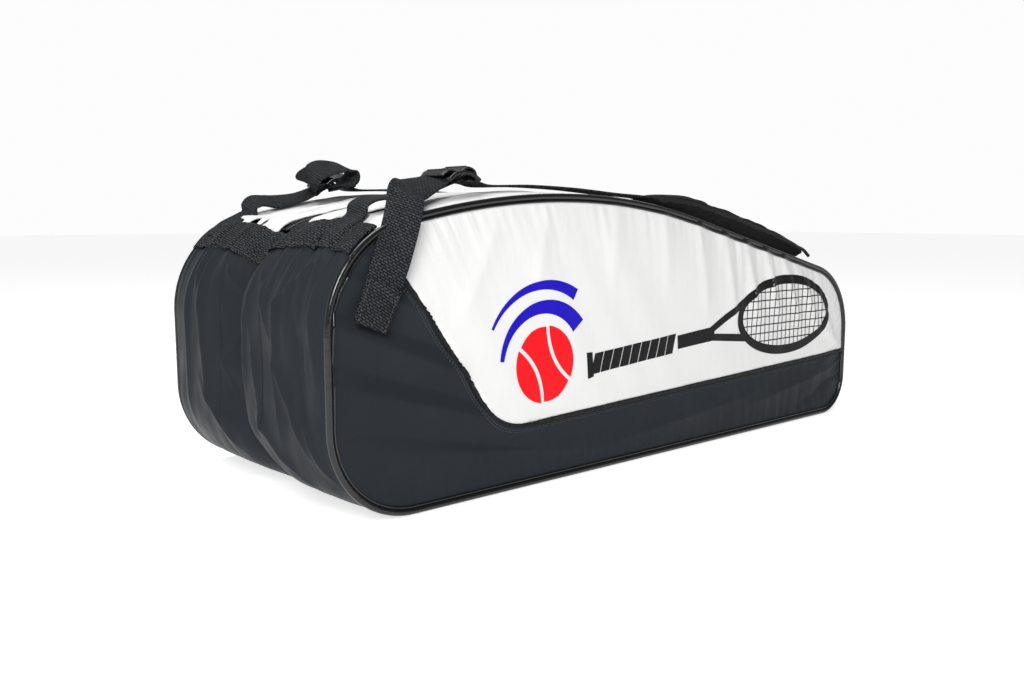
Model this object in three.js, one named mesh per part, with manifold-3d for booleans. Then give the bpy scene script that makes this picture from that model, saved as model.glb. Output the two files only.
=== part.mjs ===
// Racket tournament bag, three compartments side by side, standing on its base.
// Millimetres. +X runs to the low nose end, -Y is the front side, +Z is up.
// Every panel ring follows one side outline, which lies in the XZ plane and runs
// anticlockwise seen from the front: base, nose end, top, tall end.

import * as THREE from 'three';
import { mergeVertices } from 'three/addons/utils/BufferGeometryUtils.js';
import Module from 'manifold-3d';

const wasm = await Module();
wasm.setup();

// ---------------------------------------------------------------- driving sizes
const gap = 0.5; // clearance kept between neighbouring pieces

// side outline
const bagLength = 790;
const peakHeight = 281;
const crownRadius = 850; // the long top curve
const crownOffset = -125; // where the top curve peaks, from the middle of the length
const tallSlope = 12.4; // degrees, top edge climbing from the tall end
const noseSlope = 13.8; // degrees, top edge falling to the nose end
const tallTopRadius = 100;
const tallFootRadius = 85;
const noseTopRadius = 89;
const noseFootRadius = 48;

// across the bag
const compartmentWidth = 100;
const sideThickness = 5; // coated fabric over foam
const wallThickness = 4;
const wallInset = 1; // ring panels lie this far inside the outline
const pipingSize = 6;
const dividerThickness = 3;
const boardThickness = 3;
const boardMargin = 8; // from the base board to the walls beside it
const outerZipInset = 25; // zip centre from the divider, front and back compartments

// side panel seam between the light upper and the dark lower part; insets along the
// length are from the tall end, or from the nose end where the name says so
const seamTopInset = 50;
const seamKneeInset = 181;
const seamKneeZ = 61;
const seamNoseZ = 82;
const seamKneeRadius = 60;
const bindingWidth = 5;
const bindingThickness = 1.2;

// zips
const tapeWidth = 12; // one half of the tape, teeth included
const tapeThickness = 2.5;
const teethGap = 0.6;
const sliderLength = 20;
const sliderWidth = 12;
const sliderHeight = 6;
const sliderSpacing = 28; // centre to centre of the two closed sliders
const pullLength = 30;
const pullWidth = 8;
const pullThickness = 2;

// end webbing band and shoulder straps
const bandHeight = 44;
const bandInset = 61; // upper edge of the band, on the top curve
const bandThickness = 2.2;
const webbingWidth = 32;
const webbingThickness = 2;
const strapInset = 39; // strap centre line from the side panel
const padWidth = 58;
const padThickness = 15;
const padRise = 2.5; // bottom of the pad above the outline
const padArch = 6; // extra rise in the middle of the pad
const padNoseInset = 73; // nose end of the pad from the nose end of the bag
const padInset = 403; // where the pad thins to a flat tongue
const tongueInset = 189;
const tongueThickness = 3;
const tongueRise = 8; // extra rise where the tongue meets the ladder lock
const anchorLength = 40;
const lockLength = 36;
const lockWidth = 44;
const lockThickness = 8;
const lockBar = 6;
const lockSlot = 8;
const lockInset = 166;
const lockRise = 16; // lock centre above the top edge at the end of the tongue
const foldInset = 73; // where the front tail folds over the edge
const tailHang = 118;
const tailLean = 24; // degrees from upright

const halfLength = bagLength / 2;
const halfWidth = 1.5 * compartmentWidth;
const dividerOffset = compartmentWidth / 2;
const outerZipOffset = dividerOffset + outerZipInset;
const strapOffset = halfWidth - strapInset;
const fromTallEnd = (inset) => inset - halfLength;
const fromNoseEnd = (inset) => halfLength - inset;
const lockX = fromTallEnd(lockInset);
const foldX = fromTallEnd(foldInset);

// ---------------------------------------------------------------- materials
const paint = (color, roughness, metalness = 0) => () =>
  new THREE.MeshStandardMaterial({ color, roughness, metalness });
const whiteFabric = paint(0xe4e4e4, 0.45);
const charcoalFabric = paint(0x2b3036, 0.6);
const blackWebbing = paint(0x17181a, 0.8);
const blackGloss = paint(0x0e0e10, 0.3);
const zipTape = paint(0x1a1b1d, 0.85);
const lining = paint(0x55585c, 0.7);
const darkMetal = paint(0x2a2a2c, 0.35, 0.8);
const boardPlastic = paint(0x303235, 0.6);

// ---------------------------------------------------------------- outline
const rad = (degrees) => (degrees * Math.PI) / 180;

// A polygon with each corner rounded: corners are { x, z, r }, in anticlockwise order.
// Gives line and arc segments that run on from one another.
function roundedSegments(corners) {
  const count = corners.length;
  const fillets = corners.map((corner, i) => {
    const before = corners[(i + count - 1) % count];
    const after = corners[(i + 1) % count];
    const into = new THREE.Vector2(corner.x - before.x, corner.z - before.z).normalize();
    const away = new THREE.Vector2(after.x - corner.x, after.z - corner.z).normalize();
    const turn = Math.atan2(into.x * away.y - into.y * away.x, into.dot(away));
    const side = Math.sign(turn);
    const reach = corner.r * Math.tan(Math.abs(turn) / 2);
    const start = new THREE.Vector2(corner.x, corner.z).addScaledVector(into, -reach);
    const end = new THREE.Vector2(corner.x, corner.z).addScaledVector(away, reach);
    const inward = new THREE.Vector2(-into.y, into.x).multiplyScalar(side);
    const centre = start.clone().addScaledVector(inward, corner.r);
    return { start, end, centre, radius: corner.r, turn };
  });
  const segments = [];
  fillets.forEach((fillet, i) => {
    const next = fillets[(i + 1) % count];
    segments.push({ kind: 'arc', ...fillet, length: fillet.radius * Math.abs(fillet.turn) });
    const run = fillet.end.distanceTo(next.start);
    segments.push({ kind: 'line', start: fillet.end, end: next.start, length: run });
  });
  return segments;
}

// The point and outward normal at distance s along segments.
function pointAt(segments, distance) {
  const total = segments.reduce((sum, segment) => sum + segment.length, 0);
  let s = ((distance % total) + total) % total;
  for (const segment of segments) {
    if (s <= segment.length || segment === segments[segments.length - 1]) {
      if (segment.kind === 'line') {
        const along = segment.end.clone().sub(segment.start).normalize();
        const at = segment.start.clone().addScaledVector(along, s);
        return { at, normal: new THREE.Vector2(along.y, -along.x) };
      }
      const side = Math.sign(segment.turn);
      const spoke = segment.start.clone().sub(segment.centre);
      spoke.rotateAround(new THREE.Vector2(0, 0), (side * s) / segment.radius);
      const at = segment.centre.clone().add(spoke);
      return { at, normal: spoke.normalize().multiplyScalar(side) };
    }
    s -= segment.length;
  }
  return null;
}

// Distances along segments at every joint, and often enough that no step on an arc
// turns more than arcStep or strays from the curve, and none is longer than longestStep.
function stations(segments, from, to, longestStep = Infinity) {
  const arcStep = rad(9);
  const arcLimit = 35;
  const list = [from];
  let start = 0;
  for (let lap = 0; lap < 2; lap += 1) {
    for (const segment of segments) {
      const isArc = segment.kind === 'arc';
      const turnSteps = isArc ? Math.abs(segment.turn) / arcStep : 1;
      const lengthSteps = segment.length / (isArc ? Math.min(arcLimit, longestStep) : longestStep);
      const steps = Math.max(1, Math.ceil(Math.max(turnSteps, lengthSteps)));
      for (let i = 0; i < steps; i += 1) {
        const s = start + (segment.length * i) / steps;
        if (s > from + 1 && s < to - 1) {
          list.push(s);
        }
      }
      start += segment.length;
    }
  }
  list.push(to);
  return list;
}

const crownX = crownOffset;
const crownZ = peakHeight - crownRadius;
const tallTouchX = crownX - crownRadius * Math.sin(rad(tallSlope));
const tallTouchZ = crownZ + crownRadius * Math.cos(rad(tallSlope));
const noseTouchX = crownX + crownRadius * Math.sin(rad(noseSlope));
const noseTouchZ = crownZ + crownRadius * Math.cos(rad(noseSlope));
const tallCornerZ = tallTouchZ - Math.tan(rad(tallSlope)) * (tallTouchX + halfLength);
const noseCornerZ = noseTouchZ - Math.tan(rad(noseSlope)) * (halfLength - noseTouchX);
const ridgeX =
  (noseTouchZ - tallTouchZ + tallTouchX * Math.tan(rad(tallSlope)) + noseTouchX * Math.tan(rad(noseSlope))) /
  (Math.tan(rad(tallSlope)) + Math.tan(rad(noseSlope)));
const ridgeZ = tallTouchZ + Math.tan(rad(tallSlope)) * (ridgeX - tallTouchX);

const outline = roundedSegments([
  { x: -halfLength, z: 0, r: tallFootRadius },
  { x: halfLength, z: 0, r: noseFootRadius },
  { x: halfLength, z: noseCornerZ, r: noseTopRadius },
  { x: ridgeX, z: ridgeZ, r: crownRadius },
  { x: -halfLength, z: tallCornerZ, r: tallTopRadius },
]);
const outlineLength = outline.reduce((sum, segment) => sum + segment.length, 0);
const footEnd = outline[0].length;
const baseEnd = footEnd + outline[1].length;
const noseTopStart = baseEnd + outline[2].length + outline[3].length;
const topStart = noseTopStart + outline[4].length;
const crownStart = topStart + outline[5].length;
const crownEnd = crownStart + outline[6].length;
const tallTopEnd = crownEnd + outline[7].length + outline[8].length;

// Distance along the outline where the top edge is at x.
function topStation(x) {
  let low = noseTopStart;
  let high = tallTopEnd;
  for (let i = 0; i < 50; i += 1) {
    const middle = (low + high) / 2;
    if (pointAt(outline, middle).at.x > x) {
      low = middle;
    } else {
      high = middle;
    }
  }
  return low;
}

const lockZ = pointAt(outline, topStation(fromTallEnd(tongueInset))).at.y + lockRise;

// ---------------------------------------------------------------- solids
const bag = new THREE.Group();

function place(name, geometry, material, parent = bag) {
  const mesh = new THREE.Mesh(geometry, material());
  mesh.name = name;
  parent.add(mesh);
  return mesh;
}

// A shape drawn in XZ, pushed out along Y between two planes.
function pushY(shape, yFrom, yTo) {
  const depth = Math.abs(yTo - yFrom);
  const geometry = new THREE.ExtrudeGeometry(shape, { depth, bevelEnabled: false, steps: 1 });
  geometry.rotateX(Math.PI / 2);
  geometry.translate(0, Math.max(yFrom, yTo), 0);
  return geometry;
}

// The whole outline, moved outward by offset.
function outlinePoints(offset) {
  const list = stations(outline, 0, outlineLength).slice(0, -1);
  return list.map((s) => {
    const { at, normal } = pointAt(outline, s);
    return at.clone().addScaledVector(normal, offset);
  });
}

// A strip that follows the outline between two distances. inner and outer give its
// offsets from the outline, each a number or a function of the share of the way along.
function stripShape(from, to, inner, outer, longestStep) {
  const list = stations(outline, from, to, longestStep);
  const edge = (offset) =>
    list.map((s) => {
      const { at, normal } = pointAt(outline, s);
      const out = typeof offset === 'function' ? offset((s - from) / (to - from)) : offset;
      return at.clone().addScaledVector(normal, out);
    });
  return new THREE.Shape([...edge(outer), ...edge(inner).reverse()]);
}

// A flat strip seen edge on, along a route of [x, z] points.
function ribbonShape(route, thickness) {
  const points = route.map(([x, z]) => new THREE.Vector2(x, z));
  const curve = new THREE.SplineCurve(points);
  const steps = 3 * (route.length - 1);
  const upper = [];
  const lower = [];
  for (let i = 0; i <= steps; i += 1) {
    const at = curve.getPoint(i / steps);
    const along = curve.getTangent(i / steps);
    const normal = new THREE.Vector2(-along.y, along.x);
    upper.push(at.clone().addScaledVector(normal, thickness / 2));
    lower.push(at.clone().addScaledVector(normal, -thickness / 2));
  }
  return new THREE.Shape([...upper, ...lower.reverse()]);
}

function toSolid(geometry) {
  const plain = geometry.clone();
  plain.deleteAttribute('normal');
  plain.deleteAttribute('uv');
  const merged = mergeVertices(plain, 1e-4);
  return new wasm.Manifold(
    new wasm.Mesh({
      numProp: 3,
      vertProperties: Float32Array.from(merged.attributes.position.array),
      triVerts: Uint32Array.from(merged.index.array),
    }),
  );
}

function toGeometry(solid) {
  const mesh = solid.getMesh();
  const geometry = new THREE.BufferGeometry();
  geometry.setAttribute('position', new THREE.BufferAttribute(mesh.vertProperties, 3));
  geometry.setIndex(new THREE.BufferAttribute(mesh.triVerts, 1));
  geometry.computeVertexNormals();
  return geometry;
}

// ---------------------------------------------------------------- side panels
// The seam runs down from the top edge, round a knee and on to the nose end.
function seamRoute(offset) {
  const reach = 60; // past the outline, so that the cut goes right through
  const farRadius = 1; // corners that lie outside the panel
  const seamTopX = fromTallEnd(seamTopInset);
  const seamTopZ = pointAt(outline, topStation(seamTopX)).at.y;
  const seamKneeX = fromTallEnd(seamKneeInset);
  const down = new THREE.Vector2(seamKneeX - seamTopX, seamKneeZ - seamTopZ).normalize();
  const on = new THREE.Vector2(halfLength - seamKneeX, seamNoseZ - seamKneeZ).normalize();
  const start = new THREE.Vector2(seamTopX, seamTopZ).addScaledVector(down, -reach);
  const end = new THREE.Vector2(halfLength, seamNoseZ).addScaledVector(on, reach);
  const corners = [
    { x: start.x, z: start.y, r: farRadius },
    { x: seamKneeX, z: seamKneeZ, r: seamKneeRadius },
    { x: end.x, z: end.y, r: farRadius },
    { x: end.x, z: peakHeight + reach, r: farRadius },
    { x: start.x, z: peakHeight + reach, r: farRadius },
  ];
  const segments = roundedSegments(corners);
  const from = segments[0].length;
  const to = from + segments[1].length + segments[2].length + segments[3].length;
  const list = stations(segments, from, to).map((s) => pointAt(segments, s));
  return list.map(({ at, normal }) => at.clone().addScaledVector(normal, offset));
}

function aboveSeam(offset, yFrom, yTo) {
  const seam = seamRoute(offset);
  const high = 2 * peakHeight;
  const last = seam[seam.length - 1];
  const points = [...seam, new THREE.Vector2(last.x, high), new THREE.Vector2(seam[0].x, high)];
  return toSolid(pushY(new THREE.Shape(points), yFrom, yTo));
}

const panelEdge = -(pipingSize + gap);

// side is -1 for the front and 1 for the back
function addSide(label, side) {
  const outer = side * (halfWidth + wallInset);
  const inner = outer - side * sideThickness;
  const whole = toSolid(pushY(new THREE.Shape(outlinePoints(panelEdge)), inner, outer));
  const cutFrom = side * (halfWidth - 2 * sideThickness);
  const cutTo = side * (halfWidth + 2 * sideThickness);
  const upper = whole.intersect(aboveSeam(-gap / 2, cutFrom, cutTo));
  const lower = whole.subtract(aboveSeam(gap / 2, cutFrom, cutTo));
  place(`${label}_side_upper`, toGeometry(upper), whiteFabric);
  place(`${label}_side_lower`, toGeometry(lower), charcoalFabric);

  const pipingShape = new THREE.Shape(outlinePoints(0));
  pipingShape.holes.push(new THREE.Path(outlinePoints(-pipingSize)));
  const pipingFrom = side * (halfWidth - pipingSize / 2);
  const pipingTo = side * (halfWidth + pipingSize / 2);
  place(`${label}_side_piping`, pushY(pipingShape, pipingFrom, pipingTo), blackGloss);

  const over = [...seamRoute(-bindingWidth / 2), ...seamRoute(bindingWidth / 2).reverse()];
  const bindingFrom = outer + side * gap;
  const bindingTo = bindingFrom + side * bindingThickness;
  const ribbon = toSolid(pushY(new THREE.Shape(over), bindingFrom, bindingTo));
  const within = toSolid(pushY(new THREE.Shape(outlinePoints(panelEdge)), cutFrom, cutTo));
  place(`${label}_seam_binding`, toGeometry(ribbon.intersect(within)), charcoalFabric);
}
addSide('front', -1);
addSide('back', 1);

// ---------------------------------------------------------------- ring panels
const ringInner = -(wallInset + wallThickness);
const ringOuter = -wallInset;
const sideFace = halfWidth - pipingSize / 2 - gap; // ring panels stop here, behind the piping
const dividerFace = dividerThickness / 2 + gap;
const compartments = {
  front: [-sideFace, -dividerOffset - dividerFace],
  middle: [-dividerOffset + dividerFace, dividerOffset - dividerFace],
  back: [dividerOffset + dividerFace, sideFace],
};

const bandTop = topStation(fromTallEnd(bandInset));
const topEnd = bandTop - gap; // top strips stop under the edge of the band
const noseEnd = topStation(fromNoseEnd(padNoseInset - anchorLength - gap));
const tallRing = stripShape(bandTop, outlineLength + footEnd, ringInner, ringOuter);
const noseRing = stripShape(baseEnd, noseEnd - gap, ringInner, ringOuter);
const baseRing = stripShape(footEnd + gap, baseEnd - gap, ringInner, 0); // stands on the ground
const boardEnds = [footEnd + 2 * boardMargin, baseEnd - 2 * boardMargin];
const boardRing = stripShape(...boardEnds, ringInner - gap - boardThickness, ringInner - gap);
const bandRing = stripShape(bandTop, bandTop + bandHeight, ringOuter + gap, bandThickness);

for (const [label, [yFrom, yTo]] of Object.entries(compartments)) {
  place(`${label}_tall_gusset`, pushY(tallRing, yFrom, yTo), charcoalFabric);
  place(`${label}_nose_gusset`, pushY(noseRing, yFrom, yTo), charcoalFabric);
  place(`${label}_end_band`, pushY(bandRing, yFrom, yTo), blackWebbing);
  place(`${label}_base`, pushY(baseRing, yFrom, yTo), charcoalFabric);
  const [boardFrom, boardTo] = [yFrom + boardMargin, yTo - boardMargin];
  place(`${label}_base_board`, pushY(boardRing, boardFrom, boardTo), boardPlastic);
}

const dividerShape = new THREE.Shape(outlinePoints(-wallInset));
for (const [label, side] of [['front', -1], ['back', 1]]) {
  const centre = side * dividerOffset;
  const from = centre - dividerThickness / 2;
  place(`${label}_divider`, pushY(dividerShape, from, from + dividerThickness), lining);
}

// ---------------------------------------------------------------- top strips and zips
const zips = { front: -outerZipOffset, middle: 0, back: outerZipOffset };
const topRing = stripShape(noseEnd, topEnd, ringInner, ringOuter);
const tapeRing = stripShape(noseEnd, topEnd, ringOuter - tapeThickness, ringOuter);

for (const [label, [yFrom, yTo]] of Object.entries(compartments)) {
  const zip = zips[label];
  const reach = tapeWidth + gap;
  place(`${label}_top_strip_a`, pushY(topRing, yFrom, zip - reach), whiteFabric);
  place(`${label}_top_strip_b`, pushY(topRing, zip + reach, yTo), whiteFabric);
  place(`${label}_zip_tape_a`, pushY(tapeRing, zip - tapeWidth, zip - teethGap / 2), zipTape);
  place(`${label}_zip_tape_b`, pushY(tapeRing, zip + teethGap / 2, zip + tapeWidth), zipTape);
}

// A slider sits on the teeth; its pull is pinned at the end that leads when it opens.
// lead is -1 for the slider that opens towards the tall end, 1 towards the nose end.
function addSlider(name, y, station, lead) {
  const { at, normal } = pointAt(outline, station);
  const seat = new THREE.Group();
  const lift = ringOuter + gap;
  seat.position.set(at.x + normal.x * lift, y, at.y + normal.y * lift);
  seat.rotation.y = Math.atan2(normal.x, normal.y);
  bag.add(seat);

  const body = new THREE.BoxGeometry(sliderLength, sliderWidth, sliderHeight);
  body.translate(0, 0, sliderHeight / 2);
  place(`${name}_slider`, body, darkMetal, seat);

  const pull = new THREE.BoxGeometry(pullLength, pullWidth, pullThickness);
  const pullMiddle = lead * (sliderLength / 2 - 4 + pullLength / 2);
  pull.translate(pullMiddle, 0, sliderHeight + gap + pullThickness / 2);
  place(`${name}_pull`, pull, darkMetal, seat);
}

for (const [label, y] of Object.entries(zips)) {
  addSlider(`${label}_zip_tall`, y, crownStart + sliderSpacing / 2, -1);
  addSlider(`${label}_zip_nose`, y, crownStart - sliderSpacing / 2, 1);
}

// ---------------------------------------------------------------- shoulder straps
// A pad runs from the nose end, thins to a tongue and climbs to its ladder lock.
const padNoseX = fromNoseEnd(padNoseInset);
const padStart = topStation(padNoseX);
const tongueEnd = topStation(fromTallEnd(tongueInset));
const padShare = (topStation(fromTallEnd(padInset)) - padStart) / (tongueEnd - padStart);
const thinFrom = 0.85 * padShare;
const climbFrom = 0.88;
function padUnder(u) {
  const arch = u < padShare ? padArch * Math.sin((Math.PI * u) / padShare) : 0;
  return padRise + arch + tongueRise * THREE.MathUtils.smoothstep(u, climbFrom, 1);
}
function padOver(u) {
  const thinning = THREE.MathUtils.smoothstep(u, thinFrom, padShare);
  return padUnder(u) + THREE.MathUtils.lerp(padThickness, tongueThickness, thinning);
}
const padStep = 16;
const padShape = stripShape(padStart, tongueEnd, padUnder, padOver, padStep);
const anchorFrom = topStation(padNoseX + anchorLength);
const anchorShape = stripShape(anchorFrom, topStation(padNoseX + 1), gap, gap + bandThickness);

// The ladder lock: two side rails and three bars with two slots between them.
function lockGeometry() {
  const frame = toSolid(new THREE.BoxGeometry(lockLength, lockWidth, lockThickness));
  const slotWidth = lockWidth - 2 * lockBar;
  const slotShift = (lockBar + lockSlot) / 2;
  const slots = [-1, 1].map((side) => {
    const slot = new THREE.BoxGeometry(lockSlot, slotWidth, 2 * lockThickness);
    slot.translate(side * slotShift, 0, 0);
    return toSolid(slot);
  });
  return toGeometry(frame.subtract(slots[0]).subtract(slots[1]));
}

const bandTopPoint = pointAt(outline, bandTop - 12).at;
const lockEdge = lockX - lockLength / 2 - gap;
const feedRoute = [
  [bandTopPoint.x, bandTopPoint.y + 5],
  [bandTopPoint.x + 1, bandTopPoint.y + 15],
  [bandTopPoint.x + 14, lockZ - 13],
  [bandTopPoint.x + 45, lockZ - 8],
  [lockEdge - 1, lockZ - 2],
];

for (const [label, side] of [['front', -1], ['back', 1]]) {
  const y = side * strapOffset;
  const edge = (width, end) => y + (end * width) / 2;
  place(`${label}_strap_pad`, pushY(padShape, edge(padWidth, -1), edge(padWidth, 1)), blackWebbing);
  place(`${label}_strap_anchor`, pushY(anchorShape, edge(padWidth, -1), edge(padWidth, 1)), blackWebbing);
  const lock = place(`${label}_ladder_lock`, lockGeometry(), blackGloss);
  lock.position.set(lockX, y, lockZ);
  const feed = ribbonShape(feedRoute, webbingThickness);
  const feedBack = edge(webbingWidth, 1);
  place(`${label}_strap_webbing`, pushY(feed, edge(webbingWidth, -1), feedBack), blackWebbing);
}

// The front tail leaves the lock, folds over the front edge and hangs down the side.
const hangY = -(halfWidth + pipingSize / 2 + 2);
const foldZ = lockZ + 1;
function frontTail() {
  const foldY = hangY + webbingWidth / 2;
  const runY = -strapOffset - foldY;
  const slant = Math.atan2(runY, lockEdge - foldX);
  const runX = lockEdge - webbingWidth * Math.sin(slant) - foldX;
  const run = new THREE.BoxGeometry(Math.hypot(runX, runY), webbingWidth, webbingThickness);
  run.rotateZ(Math.atan2(runY, runX));
  run.translate(foldX + runX / 2, foldY + runY / 2, foldZ);
  const cover = new THREE.BoxGeometry(webbingWidth, webbingWidth, webbingThickness);
  cover.translate(foldX, foldY - webbingThickness / 2, foldZ);
  const hang = new THREE.BoxGeometry(webbingWidth, webbingThickness, tailHang);
  hang.translate(0, 0, -tailHang / 2);
  hang.rotateY(rad(tailLean));
  hang.translate(foldX, hangY, foldZ);
  return toGeometry(toSolid(run).add(toSolid(cover)).add(toSolid(hang)));
}
place('front_strap_tail', frontTail(), blackWebbing);

// The back tail leaves its lock upwards and curls back down beside the webbing.
const curlTurn = rad(28);
const curlStart = lockEdge - (webbingWidth / 2) * Math.sin(curlTurn) - gap;
const curlRoute = [
  [curlStart, lockZ + 4],
  [curlStart - 7, lockZ + 15],
  [curlStart - 28, lockZ + 18],
  [curlStart - 46, lockZ + 8],
  [curlStart - 50, lockZ - 4],
];
const curl = pushY(ribbonShape(curlRoute, webbingThickness), -webbingWidth / 2, webbingWidth / 2);
curl.translate(-lockEdge, 0, 0);
curl.rotateZ(curlTurn);
curl.translate(lockEdge, strapOffset - 6, 0);
place('back_strap_tail', curl, blackWebbing);

// ---------------------------------------------------------------- origin
// The middle of the whole model's footprint, on the ground.
bag.updateMatrixWorld(true);
const box = new THREE.Box3().setFromObject(bag, true);
const centre = box.getCenter(new THREE.Vector3());
bag.position.set(-centre.x, -centre.y, -box.min.z);

export default bag;
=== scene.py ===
"""Racket tournament bag with three compartments, laid over on its side.

The bag is a row of three sewn compartments between two padded side panels. Its side outline, a rounded
polygon in the length-height plane, carries every wall, band, strip and piping. Metres throughout:
+X runs along the bag to its low end, -Y is the front side panel, +Z is up.
"""

import math

import bmesh
import bpy
import numpy as np
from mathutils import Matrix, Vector


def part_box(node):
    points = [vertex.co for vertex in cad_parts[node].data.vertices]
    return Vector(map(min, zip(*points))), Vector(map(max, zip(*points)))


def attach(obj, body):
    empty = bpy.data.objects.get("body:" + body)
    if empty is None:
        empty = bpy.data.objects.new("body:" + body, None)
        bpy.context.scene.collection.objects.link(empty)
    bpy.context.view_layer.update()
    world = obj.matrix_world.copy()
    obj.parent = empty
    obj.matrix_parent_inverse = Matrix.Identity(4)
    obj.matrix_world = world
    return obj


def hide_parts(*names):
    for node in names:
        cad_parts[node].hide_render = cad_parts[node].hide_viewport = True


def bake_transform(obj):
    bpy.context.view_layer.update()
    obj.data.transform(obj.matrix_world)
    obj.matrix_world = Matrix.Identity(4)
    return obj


bl_info = {
    "name": "Racket tournament bag",
    "version": (1, 0, 0),
    "blender": (4, 5, 0),
    "location": "View3D > Sidebar > Racket bag",
    "description": "Builds the sewn shell, straps, zips and printed sides of a racket bag on its frame",
    "category": "Object",
}

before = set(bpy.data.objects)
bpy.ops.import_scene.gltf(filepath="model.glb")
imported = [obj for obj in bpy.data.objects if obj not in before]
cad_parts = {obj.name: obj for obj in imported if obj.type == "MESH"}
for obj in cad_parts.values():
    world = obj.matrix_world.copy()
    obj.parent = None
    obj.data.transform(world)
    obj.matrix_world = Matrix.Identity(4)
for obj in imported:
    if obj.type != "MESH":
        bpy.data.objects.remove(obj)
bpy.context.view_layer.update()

MM = 0.001
FRONT_LOW, FRONT_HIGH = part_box("front_side_piping")
BACK_LOW, BACK_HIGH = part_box("back_side_piping")
LENGTH = FRONT_HIGH.x - FRONT_LOW.x
PEAK = FRONT_HIGH.z
MIDDLE_Y = (FRONT_LOW.y + BACK_HIGH.y) / 2
HALF_WIDTH = (BACK_HIGH.y - FRONT_LOW.y) / 2
PANEL_EDGE = HALF_WIDTH - 4.5 * MM  # where a side panel meets its piping, from the middle plane
PIPING_INSET = 3 * MM
FRONT_DIVIDER_Y = sum(p.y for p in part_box("front_divider")) / 2
BACK_DIVIDER_Y = sum(p.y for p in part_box("back_divider")) / 2
BAND_TOP_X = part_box("middle_end_band")[1].x
BAND_DEPTH = 44 * MM
WALL_INSET = 1 * MM
SIDES = {"front": -1, "back": 1}
COMPARTMENTS = {
    "front": (MIDDLE_Y - PANEL_EDGE, FRONT_DIVIDER_Y),
    "middle": (FRONT_DIVIDER_Y + 0.05 * MM, BACK_DIVIDER_Y),
    "back": (BACK_DIVIDER_Y + 0.05 * MM, MIDDLE_Y + PANEL_EDGE),
}
COMPARTMENT_BODIES = {
    "front": ("front_unit", "front_cover"),
    "middle": ("root", "front_unit"),
    "back": ("root", "back_cover"),
}


# ---------------------------------------------------------------- sizes and colours


class BagSizes(bpy.types.PropertyGroup):
    """Sizes of the sewn work that a maker may change without touching the frame."""

    bulge: bpy.props.FloatProperty(
        name="Side bulge",
        description="How far a padded side panel stands out beyond its piping",
        default=6 * MM,
        unit="LENGTH",
    )
    pucker: bpy.props.FloatProperty(
        name="Seam pucker",
        description="Height of the small gathers along the piping",
        default=0.9 * MM,
        unit="LENGTH",
    )
    soft_fold: bpy.props.FloatProperty(
        name="Soft fold",
        description="Height of the long soft folds in the side panels",
        default=1.9 * MM,
        unit="LENGTH",
    )
    valley: bpy.props.FloatProperty(
        name="End valley",
        description="Depth of the fold between the lobes of the tall end",
        default=31 * MM,
        unit="LENGTH",
    )
    lobe: bpy.props.FloatProperty(
        name="End lobe",
        description="How far the fabric of the tall end swells out",
        default=5.5 * MM,
        unit="LENGTH",
    )
    piping_radius: bpy.props.FloatProperty(
        name="Piping radius",
        description="Radius of the corded piping round each side",
        default=3.2 * MM,
        unit="LENGTH",
    )
    webbing_width: bpy.props.FloatProperty(
        name="Webbing width",
        description="Width of the shoulder strap webbing",
        default=32 * MM,
        unit="LENGTH",
    )
    stitch: bpy.props.FloatProperty(
        name="Stitch length",
        description="Length of one stitch of the topstitching",
        default=3 * MM,
        unit="LENGTH",
    )
    pad_swell: bpy.props.FloatProperty(
        name="Pad swell",
        description="The furthest that the foam pushes a strap pad's cover out",
        default=5 * MM,
        unit="LENGTH",
    )


def colour_setting(name, description, default):
    """A colour picker holding linear red, green and blue."""
    return bpy.props.FloatVectorProperty(
        name=name, description=description, default=default, subtype="COLOR", size=3, min=0, max=1
    )


class BagColours(bpy.types.PropertyGroup):
    """Colours of the bag's fabrics, trims and prints."""

    white: colour_setting(
        "White fabric", "Satin coated fabric of the upper sides and top", (0.70, 0.70, 0.695)
    )
    charcoal: colour_setting(
        "Charcoal fabric", "Coated fabric of the lower sides and ends", (0.0180, 0.0212, 0.0256)
    )
    webbing: colour_setting("Webbing", "Woven strap webbing", (0.0050, 0.0054, 0.0058))
    piping: colour_setting("Piping", "Glossy corded piping", (0.004, 0.004, 0.0045))
    lining: colour_setting("Lining", "Lining of the compartments", (0.16, 0.165, 0.17))
    ink_black: colour_setting("Black print", "Black print on the white panels", (0.006, 0.006, 0.007))
    ink_blue: colour_setting("Blue print", "Blue print on the white panels", (0.010, 0.003, 0.42))
    ink_red: colour_setting("Red print", "Red print on the white panels", (0.82, 0.004, 0.010))


def sizes():
    return bpy.context.scene.racket_bag_sizes


def colours():
    return bpy.context.scene.racket_bag_colours


# ---------------------------------------------------------------- small maths


def smooth(x, low, high):
    """Smoothstep from 0 at low to 1 at high."""
    t = np.clip((np.asarray(x, float) - low) / (high - low), 0, 1)
    return t * t * (3 - 2 * t)


def unit(v):
    """Vectors scaled to length 1."""
    return v / np.maximum(np.linalg.norm(v, axis=-1, keepdims=True), 1e-12)


def ripple(t, wave, seed):
    """Uneven waves: the sum of six sines whose lengths spread from 0.6 to 1.7 times wave, scaled to about
    -1..1."""
    rng = np.random.default_rng(seed)
    lengths = wave * np.geomspace(0.6, 1.7, 6) * rng.uniform(0.9, 1.1, 6)
    phases = rng.uniform(0, 2 * math.pi, 6)
    weights = rng.uniform(0.5, 1.0, 6)
    waves = np.sin(2 * math.pi * np.asarray(t)[..., None] / lengths + phases)
    return (waves * weights).sum(-1) / 2.4


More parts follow.
